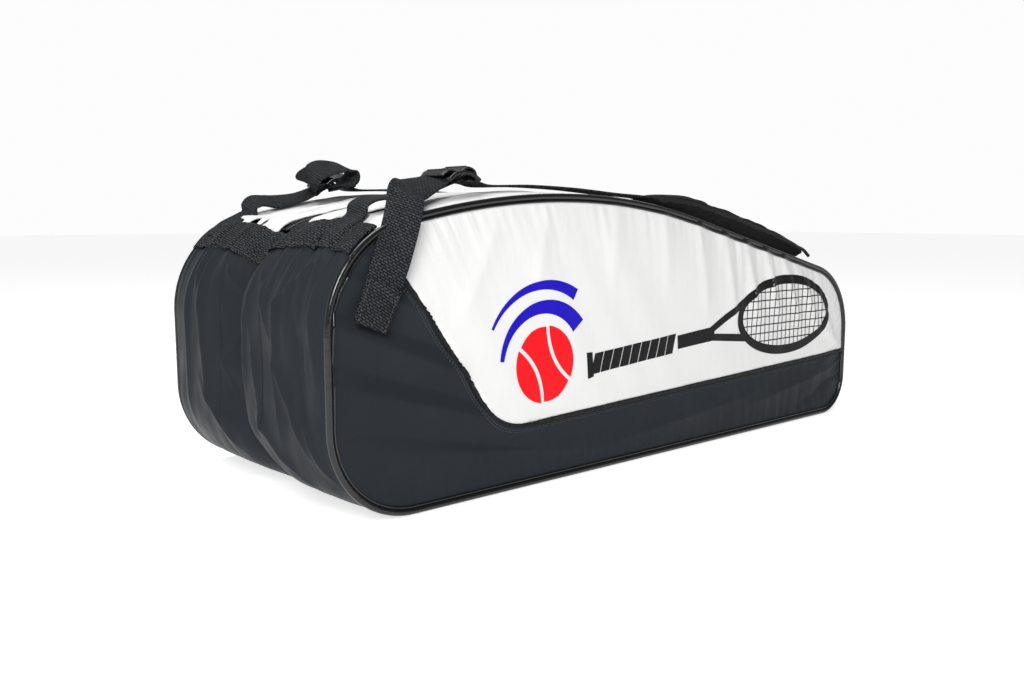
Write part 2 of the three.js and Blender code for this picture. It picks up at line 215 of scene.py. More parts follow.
def creases(a, b, folds, crisp=2.0):
    """Sum of ridges and furrows. Each fold (a0, b0, degrees, length, width, height) is
    height * exp(-(across / width)^crisp) * exp(-(along / length)^4), along its own line through (a0, b0)."""
    total = np.zeros_like(a)
    for a0, b0, turn, length, width, height in folds:
        c, s = math.cos(math.radians(turn)), math.sin(math.radians(turn))
        along = (a - a0) * c + (b - b0) * s
        across = (b - b0) * c - (a - a0) * s
        total += height * np.exp(-(np.abs(across / width) ** crisp)) * np.exp(-((along / length) ** 4))
    return total


def resample(points, count):
    """A polyline's points moved to equal steps along it."""
    points = np.asarray(points, float)
    run = np.r_[0, np.cumsum(np.linalg.norm(np.diff(points, axis=0), axis=1))]
    at = np.linspace(0, run[-1], count)
    return np.stack([np.interp(at, run, points[:, k]) for k in range(points.shape[1])], -1)


def curve_through(points, count):
    """A smooth curve through given points: Catmull-Rom pieces, then equal steps along it."""
    p = np.asarray(points, float)
    p = np.vstack([2 * p[0] - p[1], p, 2 * p[-1] - p[-2]])
    t = np.linspace(0, 1, 24, endpoint=False)[None, :, None]
    a, b, c, d = (p[k : len(p) - 3 + k][:, None, :] for k in range(4))
    bends = 0.5 * (2 * b + (c - a) * t + (2 * a - 5 * b + 4 * c - d) * t**2 + (3 * b - a - 3 * c + d) * t**3)
    return resample(np.vstack([bends.reshape(-1, p.shape[1]), p[-2]]), count)


def nearest(samples, run, x, z):
    """For each point (x, z), the run of a curve's nearest sample and the signed distance along its normal.
    samples has columns x, z, normal x, normal z."""
    flat = np.stack([np.ravel(x), np.ravel(z)], -1)
    out_run, out_gap = np.empty(len(flat)), np.empty(len(flat))
    for start in range(0, len(flat), 4096):
        q = flat[start : start + 4096]
        d2 = ((q[:, None, :] - samples[None, :, :2]) ** 2).sum(-1)
        k = d2.argmin(1)
        step = samples[k, :2] - q
        normal = samples[k, 2:]
        out_gap[start : start + 4096] = (step * normal).sum(-1)
        out_run[start : start + 4096] = run[k] - (step * np.stack([-normal[:, 1], normal[:, 0]], -1)).sum(-1)
    return out_run.reshape(np.shape(x)), out_gap.reshape(np.shape(x))


def rounded(corners, closed=True, step=1 * MM):
    """Points and outward normals along a polygon whose corners (x, z, radius) are replaced by tangent arcs.
    The run starts at the first corner's arc; an open chain keeps its two end points."""
    p = np.array([c[:2] for c in corners], float)
    n = len(p)
    pieces = []
    for i in range(n):
        if not closed and i in (0, n - 1):
            pieces.append(p[i][None])
            continue
        into = unit(p[i] - p[i - 1])
        out = unit(p[(i + 1) % n] - p[i])
        radius = corners[i][2]
        turn = math.atan2(into[0] * out[1] - into[1] * out[0], into @ out)
        cut = radius * math.tan(abs(turn) / 2)
        centre = p[i] - into * cut + np.array([-into[1], into[0]]) * radius * math.copysign(1, turn)
        first = p[i] - into * cut - centre
        angles = np.linspace(0, turn, max(3, int(abs(turn) * radius / step)))
        spin = np.stack(
            [
                first[0] * np.cos(angles) - first[1] * np.sin(angles),
                first[0] * np.sin(angles) + first[1] * np.cos(angles),
            ],
            -1,
        )
        pieces.append(centre + spin)
    chain = np.vstack(pieces + ([pieces[0][:1]] if closed else []))
    run = np.r_[0, np.cumsum(np.linalg.norm(np.diff(chain, axis=0), axis=1))]
    keep = np.r_[True, np.diff(run) > 1e-9]
    chain, run = chain[keep], run[keep]
    at = np.linspace(0, run[-1], int(run[-1] / step) + 1)
    even = np.stack([np.interp(at, run, chain[:, 0]), np.interp(at, run, chain[:, 1])], -1)
    along = unit(np.gradient(even, axis=0))
    if closed:
        along[0] = along[-1] = unit((even[1] - even[0]) + (even[-1] - even[-2]))
    return at, even, np.stack([along[:, 1], -along[:, 0]], -1)


class Outline:
    """The bag's side outline: a polygon with five rounded corners, run anticlockwise seen from the front.
    The corners come from two tangents to the crown circle, 12.4 degrees off level at the tall end and
    13.8 degrees at the low end."""

    CROWN_RADIUS = 0.850
    CROWN_X = -0.125
    TALL_SLOPE = math.radians(12.4)
    NOSE_SLOPE = math.radians(13.8)

    def __init__(self, length, peak):
        half = length / 2
        centre = np.array([self.CROWN_X, peak - self.CROWN_RADIUS])
        tall = centre + self.CROWN_RADIUS * np.array([-math.sin(self.TALL_SLOPE), math.cos(self.TALL_SLOPE)])
        nose = centre + self.CROWN_RADIUS * np.array([math.sin(self.NOSE_SLOPE), math.cos(self.NOSE_SLOPE)])
        tall_rate, nose_rate = math.tan(self.TALL_SLOPE), math.tan(self.NOSE_SLOPE)
        ridge_x = (tall[1] - tall_rate * tall[0] - nose[1] - nose_rate * nose[0]) / -(tall_rate + nose_rate)
        ridge_z = nose[1] + nose_rate * (nose[0] - ridge_x)
        corners = [
            (-half, 0, 0.085),
            (half, 0, 0.048),
            (half, nose[1] - nose_rate * (half - nose[0]), 0.089),
            (ridge_x, ridge_z, self.CROWN_RADIUS),
            (-half, tall[1] + tall_rate * (-half - tall[0]), 0.100),
        ]
        self.run, self.points, self.normals = rounded(corners)
        self.total = self.run[-1]
        self.samples = np.hstack([self.points, self.normals])
        top = (self.run > self.run_where(half, 0.05)) & (self.points[:, 1] > 0.12)
        order = np.argsort(self.points[top, 0])
        self.top_x, self.top_run = self.points[top, 0][order], self.run[top][order]

    def run_where(self, x, z):
        """Run of the outline's sample nearest to (x, z)."""
        return self.run[((self.points - (x, z)) ** 2).sum(-1).argmin()]

    def at(self, run, out=0.0):
        """Points at these runs, moved out along the normal, and the normals."""
        r = np.mod(run, self.total)
        point = np.stack([np.interp(r, self.run, self.points[:, k]) for k in (0, 1)], -1)
        normal = unit(np.stack([np.interp(r, self.run, self.normals[:, k]) for k in (0, 1)], -1))
        return point + normal * np.asarray(out)[..., None], normal

    def top(self, x):
        """Run of the top edge's point at this x."""
        return np.interp(x, self.top_x, self.top_run)

    def wall(self, run, y, out):
        """Points of a wall of the ring: the outline at run, moved out, at width y."""
        point, _ = self.at(run, out)
        return np.stack([point[..., 0], np.broadcast_to(y, point.shape[:-1]), point[..., 1]], -1)

    def near(self, x, z):
        """Run of the nearest outline point and how far inside it (x, z) lies."""
        return nearest(self.samples, self.run, x, z)


OUTLINE = Outline(LENGTH, PEAK)
BAND_TOP = OUTLINE.top(BAND_TOP_X)
BAND_LOW = BAND_TOP + BAND_DEPTH
FOOT_END = OUTLINE.total + OUTLINE.run_where(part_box("middle_base")[0].x, 0)
BASE_RUN = (
    OUTLINE.run_where(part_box("middle_base")[0].x, 0), OUTLINE.run_where(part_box("middle_base")[1].x, 0)
)
NOSE_END = OUTLINE.top(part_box("middle_top_strip_a")[1].x)

# The seam between the white and charcoal fabric of a side: down from the tall corner, round a knee, and along
# to the nose.
SEAM_TOP, SEAM_KNEE, SEAM_NOSE = (-0.345, 0.243), (-0.214, 0.061, 0.060), (LENGTH / 2 - 3 * MM, 0.082)
SEAM_RUN, SEAM_POINTS, SEAM_NORMALS = rounded([SEAM_TOP, SEAM_KNEE, SEAM_NOSE], closed=False)
SEAM_SAMPLES = np.hstack([SEAM_POINTS, SEAM_NORMALS])


# ---------------------------------------------------------------- meshes


def sheets(points, uv=None, material=0):
    """One part from grids of points, shaped (..., rows, columns, 3): a quad joins each two by two neighbours.
    Without a uv the pattern runs in metres along the grid's own rows and columns."""
    rows, columns = points.shape[-3:-1]
    many = points.reshape(-1, rows, columns, 3)
    if uv is None:
        down = np.linalg.norm(np.diff(many, axis=1), axis=-1).mean(2)
        across = np.linalg.norm(np.diff(many, axis=2), axis=-1).mean(1)
        u = np.concatenate([np.zeros((len(many), 1)), np.cumsum(down, 1)], 1)[:, :, None]
        v = np.concatenate([np.zeros((len(many), 1)), np.cumsum(across, 1)], 1)[:, None, :]
        uv = np.stack([np.broadcast_to(u, many.shape[:3]), np.broadcast_to(v, many.shape[:3])], -1)
    index = np.arange(len(many) * rows * columns).reshape(len(many), rows, columns)
    quads = np.stack(
        [index[:, :-1, :-1], index[:, 1:, :-1], index[:, 1:, 1:], index[:, :-1, 1:]], -1
    ).reshape(-1, 4)
    return many.reshape(-1, 3), quads, np.reshape(uv, (-1, 2)), np.full(len(quads), material)


def build(name, parts, materials, outward=None):
    """Joins parts into one object with its place in its mesh, merges the doubles at seams and poles, and
    turns the faces outwards: along the given direction for an open sheet, away from the inside for closed
    shapes."""
    starts = np.cumsum([0] + [len(p[0]) for p in parts[:-1]])
    verts = np.vstack([p[0] for p in parts])
    quads = np.vstack([p[1] + s for p, s in zip(parts, starts)])
    uv = np.vstack([p[2] for p in parts])
    mesh = bpy.data.meshes.new(name)
    mesh.from_pydata(verts.tolist(), [], quads.tolist())
    layer = mesh.uv_layers.new(name="UVMap")
    layer.data.foreach_set("uv", uv[quads.ravel()].astype(np.float32).ravel())
    mesh.polygons.foreach_set("material_index", np.concatenate([p[3] for p in parts]).astype(np.int32))
    mesh.polygons.foreach_set("use_smooth", np.ones(len(quads), bool))
    for m in materials:
        mesh.materials.append(m)
    work = bmesh.new()
    work.from_mesh(mesh)
    bmesh.ops.remove_doubles(work, verts=work.verts, dist=2e-6)
    if outward is None:
        bmesh.ops.recalc_face_normals(work, faces=work.faces)
    else:
        aim = Vector(outward)
        if sum(f.normal.dot(aim) * f.calc_area() for f in work.faces) < 0:
            bmesh.ops.reverse_faces(work, faces=work.faces)
    work.to_mesh(mesh)
    work.free()
    obj = bpy.data.objects.new(name, mesh)
    bpy.context.scene.collection.objects.link(obj)
    return obj


def thicken(obj, thickness, lining=False):
    """Gives a sheet its wall on the inner side; the lining is the object's second material."""
    solid = obj.modifiers.new("Wall", "SOLIDIFY")
    solid.thickness = thickness
    solid.offset = -1
    solid.use_even_offset = False
    solid.material_offset = 1 if lining else 0
    return obj


def stadium(width, thickness, side=4):
    """A flat bar's section with round ends, closed, as (across, up) points."""
    a = np.linspace(-math.pi / 2, math.pi / 2, side)
    r = thickness / 2
    right = np.stack([width / 2 - r + r * np.cos(a), r * np.sin(a)], -1)
    left = -right
    flat = np.linspace(0, 1, 5)[1:-1, None]
    top = right[-1] + (left[0] - right[-1]) * flat
    low = left[-1] + (right[0] - left[-1]) * flat
    return np.vstack([right, top, left, low, right[:1]])


def circle(radius, sides=12):
    """A round section, closed."""
    a = np.linspace(0, 2 * math.pi, sides + 1)
    return np.stack([radius * np.cos(a), radius * np.sin(a)], -1)


def sweep(path, across, section, scale=None, loop=False, material=0):
    """Carries a section along a path. across is the section's first direction at each point, squared up to
    the path; scale shrinks the section there. An open sweep closes at a point at each end."""
    path = np.asarray(path, float)
    tangent = unit(np.gradient(path, axis=0))
    if loop:
        tangent[0] = tangent[-1] = unit((path[1] - path[0]) + (path[-1] - path[-2]))
    across = np.broadcast_to(across, path.shape)
    across = unit(across - tangent * (across * tangent).sum(-1, keepdims=True))
    up = np.cross(tangent, across)
    scale = np.ones(len(path)) if scale is None else scale
    ring = section[None] * np.asarray(scale)[:, None, None]
    points = path[:, None] + across[:, None] * ring[..., :1] + up[:, None] * ring[..., 1:]
    run = np.r_[0, np.cumsum(np.linalg.norm(np.diff(path, axis=0), axis=1))]
    uv = np.stack([np.broadcast_to(run[:, None], ring.shape[:2]), ring[..., 0]], -1)
    if not loop:
        points = np.concatenate([np.broadcast_to(path[:1], points[:1].shape), points,
                                 np.broadcast_to(path[-1:], points[:1].shape)])
        uv = np.concatenate([uv[:1], uv, uv[-1:]])
    return sheets(points, uv, material)


def beads(centres, along, across, up, size, rings=4, sides=6, material=0):
    """Repeats a small closed spindle: rings of radius sin(t) from pole to pole, its size given as length,
    width and height."""
    t = np.linspace(0, math.pi, rings)
    a = np.linspace(0, 2 * math.pi, sides + 1)
    shape = np.stack(
        [
            np.broadcast_to(-np.cos(t)[:, None], (rings, sides + 1)),
            np.sin(t)[:, None] * np.cos(a),
            np.sin(t)[:, None] * np.sin(a),
        ],
        -1,
    ) * (np.array(size) / 2)
    axes = np.stack([np.broadcast_to(v, centres.shape) for v in (along, across, up)], -2)
    return sheets(centres[:, None, None] + np.einsum("ijk,nkl->nijl", shape, axes), material=material)


def block(centre, axes, half, power=0.35, steps=13, material=0):
    """A rounded block: a superellipsoid, with cosines and sines raised to power; small powers are boxier."""
    v = np.linspace(-math.pi / 2, math.pi / 2, steps)[:, None]
    u = np.linspace(-math.pi, math.pi, 2 * steps - 1)[None, :]
    lift = lambda c: np.sign(c) * np.abs(c) ** power
    cv, sv, cu, su = lift(np.cos(v)), lift(np.sin(v)), lift(np.cos(u)), lift(np.sin(u))
    shape = np.stack([cv * cu, cv * su, sv * np.ones_like(cu)], -1) * np.array(half)
    shape[0], shape[-1] = (0, 0, -half[2]), (0, 0, half[2])
    return sheets(np.array(centre) + shape @ np.array(axes, float), material=material)


def stitch_line(path, up, pitch, length, radius=0.35 * MM, material=0):
    """A row of stitches lying along a path, one every pitch."""
    path = np.asarray(path, float)
    total = np.linalg.norm(np.diff(path, axis=0), axis=1).sum()
    spots = resample(path, max(3, int(total / pitch)))
    along = unit(np.gradient(spots, axis=0))
    up = unit(
        np.broadcast_to(up, spots.shape) if np.ndim(up) == 1 else resample(
            np.hstack([path, up]), len(spots)
        )[:, 3:]
    )
    return beads(spots, along, np.cross(up, along), up, (length, 2 * radius, 2 * radius), material=material)


# ---------------------------------------------------------------- finishes


class Finish:
    """A material under construction: its nodes, links and shader, with short calls for the usual nodes."""

    def __init__(self, name, colour, roughness, **sockets):
        self.material = bpy.data.materials.new(name)
        self.material.use_nodes = True
        self.nodes, self.links = self.material.node_tree.nodes, self.material.node_tree.links
        self.shader = self.nodes["Principled BSDF"]
        self.colour = tuple(colour)
        self.shader.inputs["Base Color"].default_value = (*colour, 1)
        self.shader.inputs["Roughness"].default_value = roughness
        for socket, value in sockets.items():
            self.shader.inputs[socket.replace("_", " ")].default_value = value
        self.place = self.nodes.new("ShaderNodeTexCoord")
        self.height = None

    def node(self, kind, inputs=None, **settings):
        made = self.nodes.new("ShaderNode" + kind)
        for key, value in settings.items():
            setattr(made, key, value)
        for key, value in (inputs or {}).items():
            if hasattr(value, "is_linked"):
                self.links.new(value, made.inputs[key])
            else:
                made.inputs[key].default_value = value
        return made

    def where(self, by_uv=False):
        return self.place.outputs["UV" if by_uv else "Object"]

    def noise(self, scale, detail=3.0, rough=0.5, by_uv=False, stretch=(1, 1, 1), turn=(0, 0, 0)):
        """Noise of about 1/scale metres, stretched along an axis where stretch is small."""
        at = self.node(
            "Mapping", {"Vector": self.where(by_uv), "Scale": stretch, "Rotation": turn}
        ).outputs[0]
        return self.node(
            "TexNoise", {"Vector": at, "Scale": scale, "Detail": detail, "Roughness": rough}
        ).outputs[0]

    def spread(self, value, low, high, start=0.0, end=1.0):
        """Value mapped from start..end to low..high."""
        return self.node(
            "MapRange", {"Value": value, "From Min": start, "From Max": end, "To Min": low, "To Max": high}
        ).outputs[0]

    def tint(self, value, darker, lighter):
        """Varies the base colour between two multiples of it."""
        mix = self.node(
            "Mix",
            {
                0: value,
                6: (*[c * darker for c in self.colour], 1),
                7: (*[min(1, c * lighter) for c in self.colour], 1),
            },
            data_type="RGBA",
        )
        self.links.new(mix.outputs[2], self.shader.inputs["Base Color"])
        return self

    def gloss(self, value, low, high):
        self.links.new(self.spread(value, low, high, 0.3, 0.7), self.shader.inputs["Roughness"])
        return self

    def bump(self, value, depth, strength=1.0):
        """Adds a relief of the given depth in metres under the earlier ones."""
        inputs = {"Height": value, "Distance": depth, "Strength": strength}
        if self.height is not None:
            inputs["Normal"] = self.height
        self.height = self.node("Bump", inputs).outputs[0]
        self.links.new(self.height, self.shader.inputs["Normal"])
        return self

    def weave(self, pitch, depth, by_uv=False, turn=0.0):
        """Plain weave: the product of two trains of waves at right angles, one pitch long."""
        at = self.node("Mapping", {"Vector": self.where(by_uv), "Rotation": (0, 0, turn)}).outputs[0]
        warp, weft = (
            self.node(
                "TexWave", {"Vector": at, "Scale": math.pi / (10 * pitch)}, bands_direction=axis
            ).outputs[1]
            for axis in ("X", "Y" if by_uv else "Z")
        )
        both = self.node("Math", {0: warp, 1: weft}, operation="MULTIPLY").outputs[0]
        return self.bump(both, depth)


def white_fabric():
    """Satin coated polyester: fine weave, faint cloudy sheen."""
    f = Finish("white satin fabric", colours().white, 0.42, Specular_IOR_Level=0.55)
    f.tint(f.noise(9, 4), 0.95, 1.03).gloss(f.noise(22, 3), 0.33, 0.5)
    f.bump(f.noise(120, 4, 0.6, stretch=(1, 1, 0.45)), 0.5 * MM, 0.6).weave(0.7 * MM, 0.05 * MM)
    return f.material


def charcoal_fabric():
    """Matt coated fabric with a dry, slightly uneven coating."""
    f = Finish("charcoal coated fabric", colours().charcoal, 0.40, IOR=1.12)
    f.tint(f.noise(14, 5, 0.6), 0.8, 1.25).gloss(f.noise(30, 4), 0.34, 0.5)
    f.bump(f.noise(75, 5, 0.62, stretch=(1, 1, 0.5)), 0.8 * MM, 0.55).weave(0.6 * MM, 0.05 * MM)
    return f.material


def lining_fabric():
    f = Finish("grey lining", colours().lining, 0.75)
    f.tint(f.noise(40, 4), 0.85, 1.1).bump(f.noise(300, 3), 0.25 * MM).weave(1.1 * MM, 0.1 * MM)
    return f.material


def woven_webbing(name="woven webbing", turn=math.pi / 2 + 0.22):
    """Ribbed webbing: rows of raised yarn floats across the band, each row set off by part of a float."""
    rows, dash, shift, glint = 2.2 * MM, 4.4 * MM, 0.42, 9.5
    f = Finish(name, colours().webbing, 0.62, IOR=1.12)
    at = f.node("Mapping", {"Vector": f.where(True), "Rotation": (0, 0, turn)}).outputs[0]
    base = f.colour
    # Painted light: the floats are the yarn's colour times glint, a painted highlight on them, and the mortar
    # between rows is 0.6 times it, painted shade.
    floats = f.node(
        "TexBrick",
        {
            "Vector": at,
            "Color1": (*[c * glint for c in base], 1),
            "Color2": (*[c * glint * 0.6 for c in base], 1),
            "Mortar": (*[c * 0.6 for c in base], 1),
            "Scale": 1.0,
            "Mortar Size": rows * 0.30,
            "Mortar Smooth": 0.9,
            "Brick Width": dash,
            "Row Height": rows,
        },
        offset=shift,
    )
    f.links.new(floats.outputs[0], f.shader.inputs["Base Color"])
    relief = f.node("Math", {0: 1.0, 1: floats.outputs[1]}, operation="SUBTRACT").outputs[0]
    f.bump(relief, 0.55 * MM).bump(f.noise(900, 2, by_uv=True), 0.12 * MM)
    return f.material


def piping_cover():
    """Glossy coated piping cover with fine cross wrinkles."""
    f = Finish("glossy piping", colours().piping, 0.2, Specular_IOR_Level=0.5)
    f.gloss(f.noise(60, 3), 0.13, 0.26).bump(f.noise(420, 3, by_uv=True, stretch=(1, 0.25, 1)), 0.2 * MM, 0.5)
    return f.material


def binding_tape():
    f = Finish("binding tape", colours().webbing, 0.5, Specular_IOR_Level=0.2)
    f.tint(f.noise(200, 3), 0.7, 1.5).bump(f.noise(500, 2), 0.15 * MM).weave(0.8 * MM, 0.1 * MM)
    return f.material


def zip_tape():
    """Zip tape: a fine herringbone of chevrons along the tape."""
    f = Finish("zip tape", colours().webbing, 0.6, Specular_IOR_Level=0.18)
    f.tint(f.noise(160, 2), 0.8, 1.5)
    wave = f.node("TexWave", {"Vector": f.where(True), "Scale": 160.0}, bands_direction="DIAGONAL")
    return f.bump(wave.outputs[1], 0.15 * MM).material


def zip_teeth():
    f = Finish("nylon zip teeth", (0.02, 0.02, 0.022), 0.3, Specular_IOR_Level=0.6)
    return f.gloss(f.noise(300, 2), 0.25, 0.4).bump(f.noise(900, 2), 0.05 * MM).material


def zip_metal():
    """Black enamelled metal with bright wear in random patches."""
    f = Finish("black enamelled metal", (0.03, 0.03, 0.032), 0.28, Metallic=0.7, Coat_Weight=0.4)
    f.gloss(f.noise(220, 4), 0.2, 0.38).tint(f.noise(90, 4), 0.7, 1.8)
    return f.bump(f.noise(500, 2), 0.04 * MM).material


def pad_mesh():
    """Spacer mesh: a net of small round holes over black foam, with painted shade darkening the holes."""
    f = Finish("black spacer mesh", (0.007, 0.007, 0.0075), 0.75, Specular_IOR_Level=0.15)
    cell = f.node("TexVoronoi", {"Vector": f.where(), "Scale": 400.0}, feature="F1").outputs[0]
    hole = f.spread(cell, 0, 1, 0.1, 0.5)
    # Painted shade: the tint darkens the holes to a quarter of the mesh's colour; the rims between them are
    # tinted 1.7 times it.
    return f.tint(hole, 0.25, 1.7).bump(hole, -0.5 * MM).bump(f.noise(60, 3), 0.5 * MM).material


def lock_plastic():
    """Glossy moulded plastic with a faint flow texture."""
    f = Finish("glossy black plastic", (0.005, 0.005, 0.0055), 0.22, Specular_IOR_Level=0.45)
    return f.gloss(f.noise(120, 3), 0.18, 0.34).bump(f.noise(350, 3), 0.08 * MM).material


def board_plastic():
    """Ribbed plastic stiffener board with scuffs."""
    f = Finish("stiffener board", (0.035, 0.035, 0.037), 0.55)
    f.tint(f.noise(25, 5), 0.8, 1.5).gloss(f.noise(60, 4), 0.45, 0.65)
    ribs = f.node("TexWave", {"Vector": f.where(), "Scale": 55.0}, bands_direction="X")
    return f.bump(ribs.outputs[1], 0.3 * MM).material


def print_ink(name, colour):
    """A thin printed film: even colour, a shade glossier than the fabric, with the weave showing through."""
    f = Finish(name, colour, 0.4, IOR=1.2)
    f.tint(f.noise(60, 4), 0.93, 1.06).gloss(f.noise(35, 3), 0.32, 0.46)
    f.bump(f.noise(120, 4, 0.6, stretch=(1, 1, 0.45)), 0.3 * MM, 0.5)
    return f.weave(0.7 * MM, 0.04 * MM).material


def sewing_thread(name, colour):
    f = Finish(name, colour, 0.5)
    return f.tint(f.noise(500, 2), 0.8, 1.2).bump(f.noise(1500, 2), 0.08 * MM).material


FINISHES = {}


def finish_of(maker, *words):
    """The one material that a maker function gives, made the first time it is asked for."""
    key = (maker.__name__, *words)
    if key not in FINISHES:
        FINISHES[key] = maker(*words)
    return FINISHES[key]


def dark_thread():
    return finish_of(sewing_thread, "dark thread", (0.05, 0.05, 0.055))


# ---------------------------------------------------------------- the shell's shape

# Where the fold between the lobes of the tall end runs, and how deep it is, at heights z.
VALLEY_Z = (0.0, 0.039, 0.073, 0.112, 0.150, 0.190, 0.220, 0.240, 0.262)
VALLEY_Y = (-0.030, -0.014, 0.012, 0.017, 0.019, 0.018, 0.000, -0.012, -0.020)
VALLEY_SHARE = (0.15, 0.5, 0.95, 1.15, 1.1, 0.85, 0.45, 0.26, 0.12)

# Folds of the end walls in the width-height plane: y, z, degrees, half length, half width, height.
TALL_FOLDS = (
    (-0.075, 0.140, 88, 0.055, 0.0045, 2.2 * MM),
    (-0.098, 0.098, 58, 0.045, 0.0050, 2.4 * MM),
    (-0.128, 0.066, 62, 0.030, 0.0045, 1.8 * MM),
    (-0.040, 0.105, 78, 0.050, 0.0050, 2.0 * MM),
    (-0.066, 0.058, 42, 0.040, 0.0055, 2.3 * MM),
    (-0.094, 0.202, -40, 0.040, 0.0050, 1.8 * MM),
    (-0.050, 0.182, 60, 0.035, 0.0060, 1.6 * MM),
    (-0.128, 0.190, 84, 0.060, 0.0065, 1.7 * MM),
    (-0.112, 0.130, 80, 0.050, 0.0080, -2.0 * MM),
    (-0.018, 0.160, 96, 0.060, 0.0070, 2.6 * MM),
    (0.036, 0.143, 120, 0.036, 0.0045, 2.2 * MM),
    (0.034, 0.094, 62, 0.036, 0.0040, 2.0 * MM),
    (0.002, 0.062, 48, 0.024, 0.0045, 1.8 * MM),
    (0.060, 0.070, 50, 0.040, 0.0060, 1.6 * MM),
    (0.078, 0.150, 84, 0.070, 0.0070, 2.0 * MM),
    (0.112, 0.140, 92, 0.080, 0.0070, 1.6 * MM),
    (0.095, 0.200, 70, 0.035, 0.0050, 1.4 * MM),
    (0.040, 0.205, 50, 0.030, 0.0050, 1.6 * MM),
)
NOSE_FOLDS = (
    (-0.105, 0.110, 78, 0.050, 0.0060, 1.8 * MM),
    (-0.070, 0.080, 58, 0.045, 0.0055, 1.8 * MM),
    (-0.030, 0.120, 98, 0.050, 0.0060, 1.5 * MM),
    (0.005, 0.075, 118, 0.045, 0.0060, 1.9 * MM),
    (0.040, 0.115, 84, 0.050, 0.0055, 1.6 * MM),
    (0.078, 0.085, 66, 0.045, 0.0060, 1.9 * MM),
    (0.112, 0.120, 96, 0.050, 0.0055, 1.6 * MM),
)
# Folds of the charcoal and white side fabric in the length-height plane: x, z, degrees, half length, half
# width, height.
CHARCOAL_FOLDS = (
    (-0.330, 0.190, -24, 0.060, 0.0070, 1.5 * MM),
    (-0.335, 0.165, -20, 0.070, 0.0080, -1.2 * MM),
    (-0.310, 0.140, -22, 0.090, 0.0100, 1.9 * MM),
    (-0.300, 0.112, -19, 0.100, 0.0110, -1.4 * MM),
    (-0.270, 0.088, -16, 0.110, 0.0110, 1.8 * MM),
    (-0.262, 0.058, -13, 0.110, 0.0110, -1.2 * MM),
    (-0.200, 0.040, -8, 0.120, 0.0100, 1.2 * MM),
    (0.060, 0.036, 5, 0.120, 0.0120, 1.2 * MM),
    (0.260, 0.046, 8, 0.090, 0.0120, 1.3 * MM),
    (0.330, 0.036, 24, 0.050, 0.0090, -1.0 * MM),
)
WHITE_FOLDS = (
    (-0.235, 0.215, 62, 0.050, 0.0120, 1.3 * MM),
    (-0.160, 0.232, 78, 0.040, 0.0100, 1.0 * MM),
    (-0.060, 0.235, 84, 0.045, 0.0120, 1.1 * MM),
    (0.020, 0.232, 92, 0.045, 0.0110, 1.2 * MM),
    (0.082, 0.215, 97, 0.060, 0.0100, 1.6 * MM),
    (0.130, 0.206, 102, 0.060, 0.0095, 1.8 * MM),
    (0.172, 0.196, 104, 0.062, 0.0090, 1.9 * MM),
    (0.214, 0.186, 108, 0.058, 0.0090, 2.0 * MM),
    (0.256, 0.174, 112, 0.052, 0.0085, 2.0 * MM),
    (0.296, 0.158, 118, 0.046, 0.0085, 1.8 * MM),
    (0.334, 0.136, 126, 0.040, 0.0085, 1.6 * MM),
    (0.352, 0.104, 150, 0.040, 0.0090, 1.2 * MM),
)
TALL_FOLD_SHARE, CHARCOAL_FOLD_SHARE, WHITE_FOLD_SHARE = 1.8, 1.7, 1.25
NEAR_VALLEY_WIDTH, FAR_VALLEY_WIDTH = 10 * MM, 24 * MM
BAND_GATHER = 2.6 * MM  # gathers of the tall end right under the end band
WALL_GATHER = 0.5 * MM  # broad waves over the whole tall end
NOSE_LOBE = 5.0 * MM
SEAM_GROOVE = 1.3 * MM


def lobe(y, low, high):
    """A swelling between two seams: (1 - |2t - 1|^2.4), t running from seam to seam."""
    t = np.clip((y - low) / (high - low), 0, 1)
    return 1 - np.abs(2 * t - 1) ** 2.4


def shell_rise(run, y):
    """How far the ring of end walls, band and top swells beyond the outline at (run, y).
    Tall end: two lobes with a fold between them, gathers under the band and long creases. Low end: a lobe for
    each compartment. Top and base: nothing, so that the zips and the ground keep their lines."""
    point, _ = OUTLINE.at(run)
    x, z = point[..., 0], point[..., 1]
    low, high = MIDDLE_Y - PANEL_EDGE, MIDDLE_Y + PANEL_EDGE
    valley_y = np.interp(z, VALLEY_Z, VALLEY_Y)
    depth = np.interp(z, VALLEY_Z, VALLEY_SHARE) * sizes().valley
    near = lobe(y, low, valley_y) * (y < valley_y)
    far = lobe(y, valley_y, high) * (y >= valley_y)
    gap = (y - valley_y) / np.where(y < valley_y, NEAR_VALLEY_WIDTH, FAR_VALLEY_WIDTH)
    edges = smooth(y, low, low + 8 * MM) * smooth(-y, -high, -high + 8 * MM)
    under_band = np.exp(-np.abs(run - BAND_LOW) / (26 * MM))
    seams = sum(np.exp(-(((y - d) / (5 * MM)) ** 2)) for d in (FRONT_DIVIDER_Y, BACK_DIVIDER_Y))
    tall = (
        sizes().lobe * (near + 0.8 * far)
        - depth * np.exp(-np.abs(gap) ** 1.5)
        - 0.5 * MM * seams
        + edges * creases(y, z, TALL_FOLDS, 1.15) * TALL_FOLD_SHARE
        + edges * BAND_GATHER * under_band * ripple(y, 17 * MM, 5)
        + edges * WALL_GATHER * ripple(y + 0.25 * z, 34 * MM, 8)
    )
    nose = sum(NOSE_LOBE * lobe(y, *COMPARTMENTS[c]) for c in COMPARTMENTS) + edges * (
        creases(y, z, NOSE_FOLDS, 1.15) + 0.7 * MM * ripple(y - 0.2 * z, 22 * MM, 9)
    )
    at_tall = 1 - smooth(x, -0.350, -0.300)
    at_nose = smooth(x, 0.352, 0.385)
    return at_tall * tall * smooth(z, 0.0, 0.035) + at_nose * nose * smooth(z, 0.0, 0.03)


